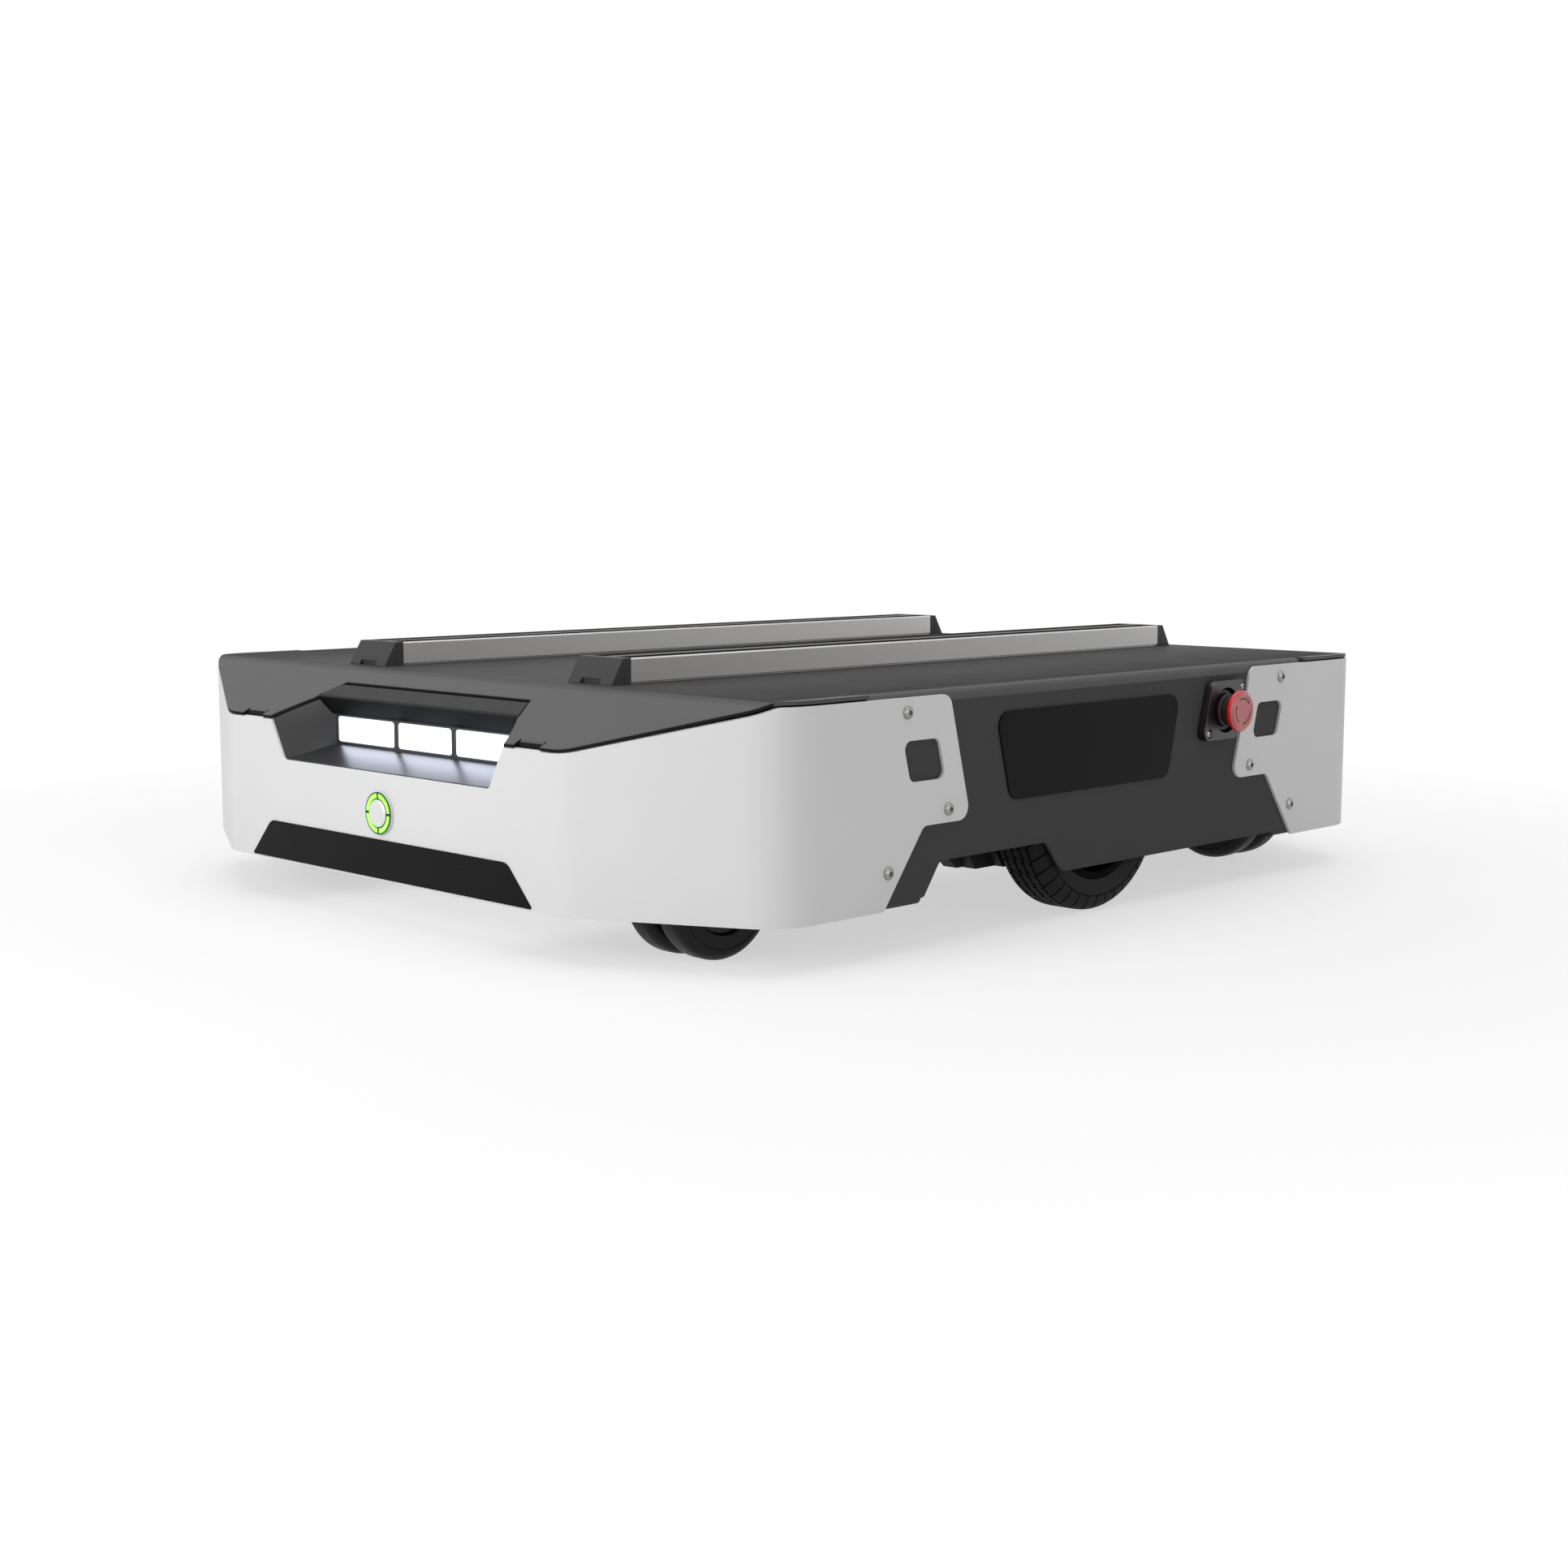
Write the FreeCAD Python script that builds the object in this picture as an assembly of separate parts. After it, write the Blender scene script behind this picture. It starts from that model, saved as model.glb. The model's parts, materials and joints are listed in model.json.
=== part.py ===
import FreeCAD, Part
import math
import os
from FreeCAD import Vector

# A low two-wheel-drive robot base on four twin-wheel casters, in millimetres.
# +X is forward, +Y is left, +Z is up. The origin is on the floor under the middle of the body.

# Body outline and sheets
HALF_LENGTH = 349.0
HALF_WIDTH = 286.5
FACE_HALF_WIDTH = 172.5
SIDE_HALF_LENGTH = 290.0
SHELL_BOTTOM = 27.5
SHELL_TOP = 147.0
SHELL_SHEET = 2.0
SHELL_BEND = 36.0
DECK_TOP = 150.0
DECK_EDGE_TOP = 120.8
DECK_SHEET = 2.0
DECK_BEND = 14.0
DECK_INSET = 0.4
DECK_GAP = 0.5
SKIRT_HALF_LENGTH = 222.0
SKIRT_BEND = 7.0
SKIRT_FACE = HALF_WIDTH - SHELL_SHEET
FOOT_RISE = 10.0
FOOT_BEND = 4.0
FOOT_DEPTH = 8.0
FOOT_FRONT = 177.8
FOOT_REAR = -190.9
TAB_Y = 142.2
TAB_WIDTH = 20.5
TAB_RELIEF = 1.5
TAB_RELIEF_DEPTH = 5.5
TAB_BOTTOM = 104.0

# Wings of the shells: window and screw places as x, z on the left front wing
WINDOW = [(195.6, 122.4), (165.1, 122.4), (158.8, 98.7), (189.4, 98.7)]
WINDOW_CORNER = 5.0
WING_SCREWS = [(192.2, 138.5), (156.3, 80.6), (207.7, 49.0)]
WING_SCREW = dict(radius=2.0, length=8.0, head=3.8, height=2.2, round=1.8, key=2.5, deep=1.2)
PLATE_SCREW = dict(radius=1.5, length=8.4, head=2.5, height=1.6, round=1.2, key=2.0, deep=0.9)
PANEL_HOLE_GAP = 0.1

# Light recess at each end
RECESS_BOTTOM = 93.3
RECESS_BOTTOM_HALF = 107.0
RECESS_TOP_HALF = 122.0
RECESS_BACK_X = 316.3
RECESS_BACK_BOTTOM = 102.0
RECESS_BACK_HALF = 95.2
HOOD_FRONT_X = 324.5
HOOD_BACK_X = 310.0
HOOD_FRONT_HALF = 104.0
HOOD_FOOT_HALF = 96.2
HOOD_BACK_HALF = 95.2
HOOD_SUNK = 0.3
HOOD_RISE = 0.8
HOOD_SHEET = 2.0
HOOD_BOTTOM = 121.4
HOOD_GAP = 1.0
HOOD_ROOM_BACK_X = 307.2
HOOD_ROOM_BACK_HALF = 95.0
HOOD_END_GAP = 0.3
HOUSING_WALL = 2.2
HOUSING_BACK_X = 307.8
LENS_BOTTOM = 103.6
LENS_TOP = 120.2
LENS_CORNER = 2.5
LENS_GAP = 0.1
LENS_PANELS = [(-94.0, -31.6), (-28.1, 28.1), (31.6, 94.0)]
LENS_BACK_X = 312.2
LENS_SUNK = 0.7
BOARD_X = 308.8
BOARD_SHEET = 1.6
LED_PITCH = 10.0
LED_SIZE = 3.0
LED_HEIGHT = 1.2

# Badge plates
BADGE_SHEET = 0.8
FRONT_BADGE_BOTTOM = 28.6
FRONT_BADGE_TOP = 52.8
FRONT_BADGE_BOTTOM_HALF = 146.0
FRONT_BADGE_TOP_HALF = 123.0
SIDE_BADGE = [(112.5, 133.6), (-74.4, 133.6), (-62.7, 80.1), (98.5, 80.1)]
SIDE_BADGE_CORNER = 9.0
SIDE_BADGE_SHEET = 1.2

# Power button on the front face
BUTTON_Z = 69.2
BEZEL_RADIUS = 13.0
BEZEL_HEIGHT = 2.5
BUTTON_BARREL = 11.0
BUTTON_BARREL_LENGTH = 30.0
RING_INNER = 9.1
RING_OUTER = 12.2
RING_DEPTH = 1.5
RING_RIB = 1.7
CAP_RADIUS = 8.5
CAP_PROUD = 3.5
CAP_DEPTH = 9.0
CAP_TRAVEL = 2.5

# Emergency stop on each side
STOP_X = -121.2
STOP_Z = 120.3
STOP_PLATE = [(-105.1, 139.9), (-145.8, 139.9), (-135.2, 100.9), (-93.9, 100.9)]
STOP_PLATE_CORNER = 6.5
STOP_PLATE_HEIGHT = 6.0
STOP_HOLE_RADIUS = 15.0
STOP_SCREWS = [(-140.2, 135.1), (-101.9, 105.6)]
STOP_SINK_RADIUS = 3.0
STOP_SINK = 1.3
STOP_BARREL = 13.0
STOP_BARREL_LENGTH = 12.0
STOP_COLLAR = 13.9
STOP_COLLAR_HEIGHT = 3.6
STOP_POCKET = 11.2
STOP_POCKET_FLOOR = 280.4
STOP_STEM = 5.0
STOP_TRAVEL = 4.0
STOP_NECK = 10.8
STOP_NECK_BACK = 285.0
STOP_GROOVE = 10.1
STOP_GROOVE_START = 291.4
STOP_GROOVE_END = 296.0
STOP_RIM = 13.75
STOP_RIM_BACK = 300.0
STOP_RIM_FRONT = 302.2
STOP_FACE_RADIUS = 10.7
STOP_HEAD_FACE = 303.4
STOP_FACE_WALL = 3.5
STOP_BLOCK = 24.0
STOP_BLOCK_LENGTH = 32.0

# Slotted rails on the deck
RAIL_Y = 113.9
RAIL_WIDTH = 40.0
RAIL_HEIGHT = 15.5
RAIL_HALF_LENGTH = 264.0
RAIL_CHAMFER = 0.8
RAIL_FOOT = 1.2
SLOT_SPACING = 20.0
SLOT_MOUTH = 10.2
SLOT_INNER = 15.0
SLOT_LIP = 2.2
SLOT_DEPTH = 8.5
CAP_FLANGE_X = 269.5
CAP_SEAM = 0.6
CAP_SEAM_DEPTH = 0.4
CAP_TOP_X = 270.2
CAP_BASE_X = 279.0
CAP_NOTCH_X = 276.6
CAP_NOTCH_WIDTH = 18.0
CAP_NOTCH_HEIGHT = 3.2

# Frame: battery tray, shelves, lugs
TRAY_HALF_LENGTH = 175.0
TRAY_HALF_WIDTH = 105.0
TRAY_BOTTOM = 27.5
FRAME_SHEET = 3.0
TRAY_FLANGE = 28.0
SHELF_BOTTOM = 100.0
SHELF_END_X = 308.0
SHELF_INSET = 7.0
SHELF_WIDE_X = 150.0
FRONT_SHELF_HALF = 236.0
REAR_SHELF_HALF = 211.0
FRONT_SHELF_START = 75.0
REAR_SHELF_START = -50.0
PAN_SHEET = 1.5
PAN_HALF_LENGTH = 345.0
PAN_FRONT_HALF_WIDTH = 110.0
PAN_REAR_HALF_WIDTH = 106.0

# Drive units
WHEEL_RADIUS = 67.0
WHEEL_Y = 261.0
WHEEL_WIDTH = 36.0
TYRE_SHOULDER = 9.0
TREAD_GROOVE = 1.6
TREAD_GROOVE_DEPTH = 2.5
TREAD_GROOVE_SPACING = 6.2
RIM_RADIUS = 47.0
RIM_WALL = 5.0
HUB_RADIUS = 18.0
HUB_PROUD = 7.0
NUT_ACROSS = 24.0
NUT_HEIGHT = 6.0
SPOKE_HOLE_RADIUS = 8.0
SPOKE_HOLE_CIRCLE = 30.0
SPOKE_HOLES = 5
SHAFT_RADIUS = 8.0
RUNNING_GAP = 0.05
PRESS_GAP = 0.02
ARM_INNER_Y = 214.0
ARM_SHEET = 10.0
TOE_BACK = 36.0
TOE_BOTTOM = 29.0
TOE_TOP = 57.0
TOE_LEAN = 0.7
TOE_STEPS = [(67.7, 9.0), (49.0, 16.0)]
FLANGE_SIZE = 82.0
FLANGE_SHEET = 12.0
GEARBOX_SIZE = 76.0
GEARBOX_LENGTH = 34.0
MOTOR_RADIUS = 29.0
MOTOR_LENGTH = 50.0
PIVOT_X = 95.0
PIVOT_Z = 74.0
PIVOT_RADIUS = 6.0
PIVOT_BOSS = 14.0
LUG_SHEET = 8.0
LUG_GAP = 2.0
SPRING_X = -75.0
SPRING_Y = 192.0
SPRING_MEAN_RADIUS = 10.5
SPRING_WIRE = 1.6
SPRING_TURNS = 5
SPRING_SEAT_RADIUS = 7.0
SPRING_SEAT_HEIGHT = 9.0
PAD_TOP = 58.0
PAD_SHEET = 8.0
PAD_HALF = 17.0

# Casters: swivel places and the way each trail points, as a turn about Z from +X
CASTER_X = 249.0
FRONT_CASTER_Y = 202.6
REAR_CASTER_Y = 181.4
CASTERS = {
    "front_left": (CASTER_X, FRONT_CASTER_Y, 0),
    "front_right": (CASTER_X, -FRONT_CASTER_Y, 180),
    "rear_left": (-CASTER_X, REAR_CASTER_Y, 90),
    "rear_right": (-CASTER_X, -REAR_CASTER_Y, -90),
}
CASTER_TRAIL = 25.0
CASTER_RADIUS = 40.0
CASTER_WIDTH = 19.0
CASTER_SPACING = 26.0
CASTER_CORNER = 6.0
CASTER_RECESS_RADIUS = 25.0
CASTER_RECESS = 3.0
CASTER_DISC_RADIUS = 17.0
CASTER_DISC_HOLE = 7.5
CASTER_DISC_RISE = 1.0
CASTER_AXLE = 4.0
CASTER_HEAD = 6.5
CASTER_WEB = 6.0
CASTER_STEM = 6.0
CASTER_CUP = 20.0
CASTER_PLATE = 60.0
CASTER_PLATE_SHEET = 3.0
CROWN_BOTTOM = 82.0
CROWN_TOP = 86.0
SWIVEL_GAP = 0.5

# Inner units and rear sockets
BATTERY_END_GAP = 6.0
BATTERY_SIDE_GAP = 5.0
BATTERY_HEIGHT = 92.0
BATTERY_FRONT = 118.0
UNIT_BACK_X = 190.0
UNIT_FRONT_X = 288.0
UNIT_INNER_Y = 8.0
UNIT_OUTER_Y = 96.0
DRIVER_HEIGHT = 30.0
FIN_COUNT = 8
FIN_HEIGHT = 8.0
STANDOFF_HEIGHT = 6.0
STANDOFF_RADIUS = 3.0
SOCKET_Z = 69.2
SOCKETS = {"charging_socket": (45.0, 8.0), "data_socket": (-45.0, 6.0)}
SOCKET_FLANGE = 30.0
SOCKET_FLANGE_SHEET = 3.5
SOCKET_BARREL = 12.0
SOCKET_BARREL_LENGTH = 26.0
SOCKET_BORE_DEPTH = 14.0

LEFT_RIGHT = Vector(0, 1, 0)
FRONT_REAR = Vector(1, 0, 0)
DECK_SLOPE = (DECK_TOP - DECK_EDGE_TOP) / (HALF_LENGTH - SIDE_HALF_LENGTH)
FAR = 400.0


def box(x0, x1, y0, y1, z0, z1):
    return Part.makeBox(x1 - x0, y1 - y0, z1 - z0, Vector(x0, y0, z0))


def rod(radius, start, way):
    return Part.makeCylinder(radius, way.Length, start, way)


def rounded_wire(corners, place):
    """Closed wire through (u, v, radius) corners; place turns u, v into a point."""
    ends = []
    for index, (u, v, radius) in enumerate(corners):
        corner = place(u, v)
        before = place(*corners[index - 1][:2]) - corner
        after = place(*corners[(index + 1) % len(corners)][:2]) - corner
        before.normalize()
        after.normalize()
        half_angle = before.getAngle(after) / 2
        reach = radius / math.tan(half_angle)
        middle_way = before + after
        middle = corner
        if radius > 0:
            middle_way.normalize()
            middle = corner + middle_way * (radius / math.sin(half_angle) - radius)
        ends.append((corner + before * reach, middle, corner + after * reach))
    edges = []
    for index, (start, middle, end) in enumerate(ends):
        edges.append(Part.LineSegment(ends[index - 1][2], start).toShape())
        if corners[index][2] > 0:
            edges.append(Part.Arc(start, middle, end).toShape())
    return Part.Wire(edges)


def prism(corners, axis, low, high):
    """Outline of (u, v, radius) corners, swept along one axis from low to high."""
    places = {
        "x": lambda u, v: Vector(low, u, v),
        "y": lambda u, v: Vector(u, low, v),
        "z": lambda u, v: Vector(u, v, low),
    }
    ways = {"x": Vector(1, 0, 0), "y": Vector(0, 1, 0), "z": Vector(0, 0, 1)}
    return Part.Face(rounded_wire(corners, places[axis])).extrude(ways[axis] * (high - low))


def turned(corners, x, z):
    """Solid turned about a line along Y through x, z; corners are (y, radius, corner radius)."""
    wire = rounded_wire(corners, lambda y, radius: Vector(x, y, z + radius))
    return Part.Face(wire).revolve(Vector(x, 0, z), Vector(0, 1, 0), 360)


def with_radius(points, radius):
    return [(u, v, radius) for u, v in points]


def rectangle(u0, u1, v0, v1, radius=0.0):
    return with_radius([(u0, v0), (u1, v0), (u1, v1), (u0, v1)], radius)


def hexagon(u, v, across):
    corner = across / math.sqrt(3)
    angles = [math.radians(60 * step) for step in range(6)]
    return [(u + corner * math.cos(a), v + corner * math.sin(a), 0) for a in angles]


def joined(shapes):
    return shapes[0].fuse(shapes[1:]).removeSplitter()


def mirrored(shape, normal):
    return shape.mirror(Vector(0, 0, 0), normal)


def both_sides(shape):
    return [shape, mirrored(shape, LEFT_RIGHT)]


def all_corners(shapes):
    sides = shapes + [mirrored(shape, LEFT_RIGHT) for shape in shapes]
    return sides + [mirrored(shape, FRONT_REAR) for shape in sides]


def save(name, shapes):
    """Write one node; a group of pieces is written as separate solids."""
    shape = shapes[0] if len(shapes) == 1 else Part.makeCompound(shapes)
    shape.exportStep("parts/%s.step" % name)


def save_pair(name, left_shape):
    save("left_" + name, [left_shape])
    save("right_" + name, [mirrored(left_shape, LEFT_RIGHT)])


def deck_height(x):
    return DECK_TOP - DECK_SLOPE * (x - SIDE_HALF_LENGTH)


def outline(inset, bend):
    """Eight-cornered body outline from above, moved inwards by inset."""
    facet = Vector(HALF_WIDTH - FACE_HALF_WIDTH, HALF_LENGTH - SIDE_HALF_LENGTH, 0)
    facet.normalize()
    reach = facet.x * HALF_LENGTH + facet.y * FACE_HALF_WIDTH - inset
    x_face = HALF_LENGTH - inset
    y_face = (reach - facet.x * x_face) / facet.y
    y_side = HALF_WIDTH - inset
    x_side = (reach - facet.y * y_side) / facet.x
    quarter = [(x_face, y_face), (x_side, y_side)]
    points = quarter + [(-x, y) for x, y in reversed(quarter)]
    points += [(-x, -y) for x, y in quarter] + [(x, -y) for x, y in reversed(quarter)]
    return with_radius(points, bend)


def deck_sheet_profile(reach):
    """Side view of the deck sheet: flat middle and a slope at each end."""
    slant = math.hypot(1, DECK_SLOPE)
    under = DECK_TOP - DECK_SHEET
    knee = SIDE_HALF_LENGTH - DECK_SHEET * (slant - 1) / DECK_SLOPE
    edge = deck_height(reach)
    return [
        (-reach, edge, 0),
        (-SIDE_HALF_LENGTH, DECK_TOP, DECK_BEND),
        (SIDE_HALF_LENGTH, DECK_TOP, DECK_BEND),
        (reach, edge, 0),
        (reach, edge - DECK_SHEET * slant, 0),
        (knee, under, DECK_BEND - DECK_SHEET),
        (-knee, under, DECK_BEND - DECK_SHEET),
        (-reach, edge - DECK_SHEET * slant, 0),
    ]


def recess_void():
    """Space of the front light recess, open to the front and to the deck's cut-out."""
    side_lean = (RECESS_TOP_HALF - RECESS_BOTTOM_HALF) / (DECK_EDGE_TOP - RECESS_BOTTOM)
    top = deck_height(HOOD_FRONT_X)
    mouth_half = RECESS_BOTTOM_HALF + side_lean * (top - RECESS_BOTTOM)
    mouth = [
        (-RECESS_BOTTOM_HALF, RECESS_BOTTOM, 0),
        (RECESS_BOTTOM_HALF, RECESS_BOTTOM, 0),
        (RECESS_TOP_HALF, DECK_EDGE_TOP, 0),
        (mouth_half, top, 0),
        (-mouth_half, top, 0),
        (-RECESS_TOP_HALF, DECK_EDGE_TOP, 0),
    ]
    share = (HALF_LENGTH - RECESS_BACK_X) / (HALF_LENGTH - HOOD_FRONT_X)
    back_half = mouth_half - share * (mouth_half - HOOD_FRONT_HALF)
    back = [
        (-RECESS_BACK_HALF, RECESS_BACK_BOTTOM, 0),
        (RECESS_BACK_HALF, RECESS_BACK_BOTTOM, 0),
        (RECESS_BACK_HALF, HOOD_BOTTOM, 0),
        (back_half, top, 0),
        (-back_half, top, 0),
        (-RECESS_BACK_HALF, HOOD_BOTTOM, 0),
    ]

    def at_mouth(y, z):
        return Vector(HALF_LENGTH, y, z)

    def at_back(y, z):
        return Vector(RECESS_BACK_X, y, z)

    return Part.makeLoft([rounded_wire(mouth, at_mouth), rounded_wire(back, at_back)], True, True)


def recess_skin():
    """The recess space grown outwards by the housing wall, below the deck and behind the shell."""
    void = recess_void()
    centre = Vector(HALF_LENGTH, 0, RECESS_BACK_BOTTOM)
    grow = FreeCAD.Matrix()
    grow.scale(1 + HOUSING_WALL / (HALF_LENGTH - RECESS_BACK_X), 1 + HOUSING_WALL / RECESS_BACK_HALF, 1.0)
    skin = void.translated(centre * -1).transformGeometry(grow).translated(centre)
    skin = skin.fuse(skin.translated(Vector(0, 0, -HOUSING_WALL)))
    slant = math.hypot(1, DECK_SLOPE)
    lid_gap = DECK_SHEET * slant + DECK_GAP
    reach = HALF_LENGTH - SHELL_SHEET
    room = [
        (HOUSING_BACK_X, RECESS_BOTTOM - FAR / 10, 0),
        (reach, RECESS_BOTTOM - FAR / 10, 0),
        (reach, deck_height(reach) - lid_gap, 0),
        (HOUSING_BACK_X, deck_height(HOUSING_BACK_X) - lid_gap, 0),
    ]
    return skin.common(prism(room, "y", -FAR, FAR))


def hood_plan():
    half = [(HOOD_BACK_X, HOOD_BACK_HALF), (HOOD_FRONT_X, HOOD_FRONT_HALF)]
    return with_radius(half + [(x, -y) for x, y in reversed(half)], 0)


def hood_room_plan():
    """The cut-out for the hood, with a wider gap behind the hood than at its ends."""
    half = [
        (HOOD_ROOM_BACK_X, HOOD_ROOM_BACK_HALF),
        (HOOD_FRONT_X + HOOD_GAP, HOOD_FRONT_HALF + HOOD_GAP),
    ]
    return with_radius(half + [(x, -y) for x, y in reversed(half)], 0)


def hood_front_view(gap):
    """The hood from the front: narrower at its foot, straight above the deck."""
    top = deck_height(HOOD_FRONT_X)
    half = [(HOOD_FOOT_HALF + gap, HOOD_BOTTOM), (HOOD_FRONT_HALF + gap, top), (HOOD_FRONT_HALF + gap, FAR)]
    return with_radius(half + [(-y, z) for y, z in reversed(half)], 0)


def lens_outline(panel, gap):
    return rectangle(
        panel[0] + gap, panel[1] - gap, LENS_BOTTOM + gap, LENS_TOP - gap, LENS_CORNER - gap
    )


def make_light_housing():
    housing = recess_skin().cut(recess_void())
    hood_room = prism(hood_room_plan(), "z", HOOD_BOTTOM, FAR)
    housing = housing.cut(hood_room.common(prism(hood_front_view(HOOD_END_GAP), "x", 0, FAR)))
    for panel in LENS_PANELS:
        housing = housing.cut(prism(lens_outline(panel, 0), "x", 0, HALF_LENGTH - SHELL_SHEET))
    rim_half = LENS_PANELS[-1][1] + HOUSING_WALL
    rim_bottom = LENS_BOTTOM - HOUSING_WALL
    rim = box(BOARD_X, HOOD_FRONT_X, -rim_half, rim_half, rim_bottom, HOOD_BOTTOM).cut(recess_void())
    for panel in LENS_PANELS:
        rim = rim.cut(prism(lens_outline(panel, 0), "x", 0, HALF_LENGTH))
    led_front = BOARD_X + BOARD_SHEET + LED_HEIGHT
    room_half = rim_half - 1
    board_room = box(0, led_front, -room_half, room_half, LENS_BOTTOM - 0.4, LENS_TOP + 0.4)
    return joined([housing, rim.cut(board_room)])


def make_light_hood():
    back_top = deck_height(HOOD_BACK_X) - HOOD_SUNK
    front_top = deck_height(HOOD_FRONT_X) + HOOD_RISE
    foot_x = RECESS_BACK_X
    profile = [
        (HOOD_BACK_X, back_top, 0),
        (HOOD_FRONT_X, front_top, 1.2),
        (foot_x, HOOD_BOTTOM, 0),
        (foot_x - HOOD_SHEET, HOOD_BOTTOM, 0),
        (HOOD_FRONT_X - HOOD_SHEET, front_top - HOOD_SHEET, 0),
        (HOOD_BACK_X, back_top - HOOD_SHEET, 0),
    ]
    hood = prism(profile, "y", -FAR, FAR).common(prism(hood_plan(), "z", 0, FAR))
    return hood.common(prism(hood_front_view(0), "x", 0, FAR))


def make_light_lenses():
    front = RECESS_BACK_X - LENS_SUNK
    return [prism(lens_outline(panel, LENS_GAP), "x", LENS_BACK_X, front) for panel in LENS_PANELS]


def make_light_board():
    half = LENS_PANELS[-1][1] + 0.5
    board = box(BOARD_X, BOARD_X + BOARD_SHEET, -half, half, LENS_BOTTOM, LENS_TOP)
    middle = (LENS_BOTTOM + LENS_TOP) / 2
    front = BOARD_X + BOARD_SHEET
    shapes = [board]
    count = int(half / LED_PITCH)
    for step in range(-count, count + 1):
        y = step * LED_PITCH
        half_led = LED_SIZE / 2
        shapes.append(
            box(front, front + LED_HEIGHT, y - half_led, y + half_led, middle - half_led, middle + half_led)
        )
    return joined(shapes)


def screw_hole(screw, x, z):
    """Space for a screw's shank through the left side."""
    return rod(screw["radius"] + PANEL_HOLE_GAP, Vector(x, 0, z), Vector(0, FAR, 0))


def make_shell():
    """Front shell without its face holes: a bent sheet round the end, with a wing along each side."""
    ring = prism(outline(0, SHELL_BEND), "z", SHELL_BOTTOM, DECK_TOP)
    ring = ring.cut(prism(outline(SHELL_SHEET, SHELL_BEND - SHELL_SHEET), "z", 0, FAR))
    slant_gap = DECK_SHEET * math.hypot(1, DECK_SLOPE) + DECK_GAP
    reach = HALF_LENGTH + 10
    side_view = [
        (reach, SHELL_BOTTOM, 0),
        (211.0, SHELL_BOTTOM, 2.0),
        (177.5, 72.9, 6.0),
        (136.4, 72.9, 8.0),
        (155.4, SHELL_TOP, 8.0),
        (SIDE_HALF_LENGTH - 2, SHELL_TOP, 6.0),
        (HALF_LENGTH, deck_height(HALF_LENGTH) - slant_gap, 0),
        (reach, deck_height(reach) - slant_gap, 0),
    ]
    shell = ring.common(prism(side_view, "y", -FAR, FAR))
    shell = shell.cut(prism(with_radius(WINDOW, WINDOW_CORNER), "y", -FAR, FAR))
    for x, z in WING_SCREWS:
        for hole in both_sides(screw_hole(WING_SCREW, x, z)):
            shell = shell.cut(hole)
    mouth = [
        (-RECESS_BOTTOM_HALF, RECESS_BOTTOM, 4.0),
        (RECESS_BOTTOM_HALF, RECESS_BOTTOM, 4.0),
        (RECESS_TOP_HALF, DECK_EDGE_TOP, 0),
        (-RECESS_TOP_HALF, DECK_EDGE_TOP, 0),
    ]
    return shell.cut(prism(mouth, "x", HALF_LENGTH - 4 * SHELL_SHEET, HALF_LENGTH + SHELL_SHEET))


def face_hole(radius, y, z):
    return rod(radius, Vector(HALF_LENGTH - 4 * SHELL_SHEET, y, z), Vector(FAR, 0, 0))


def make_skirt():
    """Left skirt: the deck sheet folded down, cut away over the wheel, with two turned-in feet."""
    inner = SKIRT_FACE - DECK_SHEET
    root = SKIRT_FACE - 2 * SKIRT_BEND
    under = DECK_TOP - DECK_SHEET
    section = [
        (root, DECK_TOP, 0),
        (SKIRT_FACE, DECK_TOP, SKIRT_BEND),
        (SKIRT_FACE, SHELL_BOTTOM, 0),
        (inner, SHELL_BOTTOM, 0),
        (inner, under, SKIRT_BEND - DECK_SHEET),
        (root, under, 0),
    ]
    wall = prism(section, "x", -SKIRT_HALF_LENGTH, SKIRT_HALF_LENGTH)
    foot_top = SHELL_BOTTOM + FOOT_RISE
    lower_edge = [
        (FAR, 0, 0),
        (FAR, foot_top, 0),
        (FOOT_FRONT, foot_top, 0),
        (FOOT_FRONT, 31.0, 0),
        (174.7, 31.6, 2.0),
        (161.0, 50.9, 6.0),
        (62.5, 50.9, 6.0),
        (46.0, 30.9, 8.0),
        (FOOT_REAR + 2, 30.9, 0),
        (FOOT_REAR, 28.0, 0),
        (FOOT_REAR, foot_top, 0),
        (-FAR, foot_top, 0),
        (-FAR, 0, 0),
    ]
    wall = wall.cut(prism(lower_edge, "y", 0, FAR))
    flange_top = SHELL_BOTTOM + DECK_SHEET
    foot_section = [
        (SKIRT_FACE, foot_top, 0),
        (SKIRT_FACE, SHELL_BOTTOM, FOOT_BEND),
        (SKIRT_FACE - FOOT_DEPTH, SHELL_BOTTOM, 0),
        (SKIRT_FACE - FOOT_DEPTH, flange_top, 0),
        (inner, flange_top, FOOT_BEND - DECK_SHEET),
        (inner, foot_top, 0),
    ]
    front_foot = prism(foot_section, "x", FOOT_FRONT, SKIRT_HALF_LENGTH)
    rear_foot = prism(foot_section, "x", -SKIRT_HALF_LENGTH, FOOT_REAR)
    skirt = joined([wall, front_foot, rear_foot])
    for x, z in WING_SCREWS:
        for place in (x, -x):
            skirt = skirt.cut(screw_hole(WING_SCREW, place, z))
    for x, z in STOP_SCREWS:
        skirt = skirt.cut(screw_hole(PLATE_SCREW, x, z))
    return skirt.cut(rod(STOP_BARREL + PANEL_HOLE_GAP, Vector(STOP_X, 0, STOP_Z), Vector(0, FAR, 0)))


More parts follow.
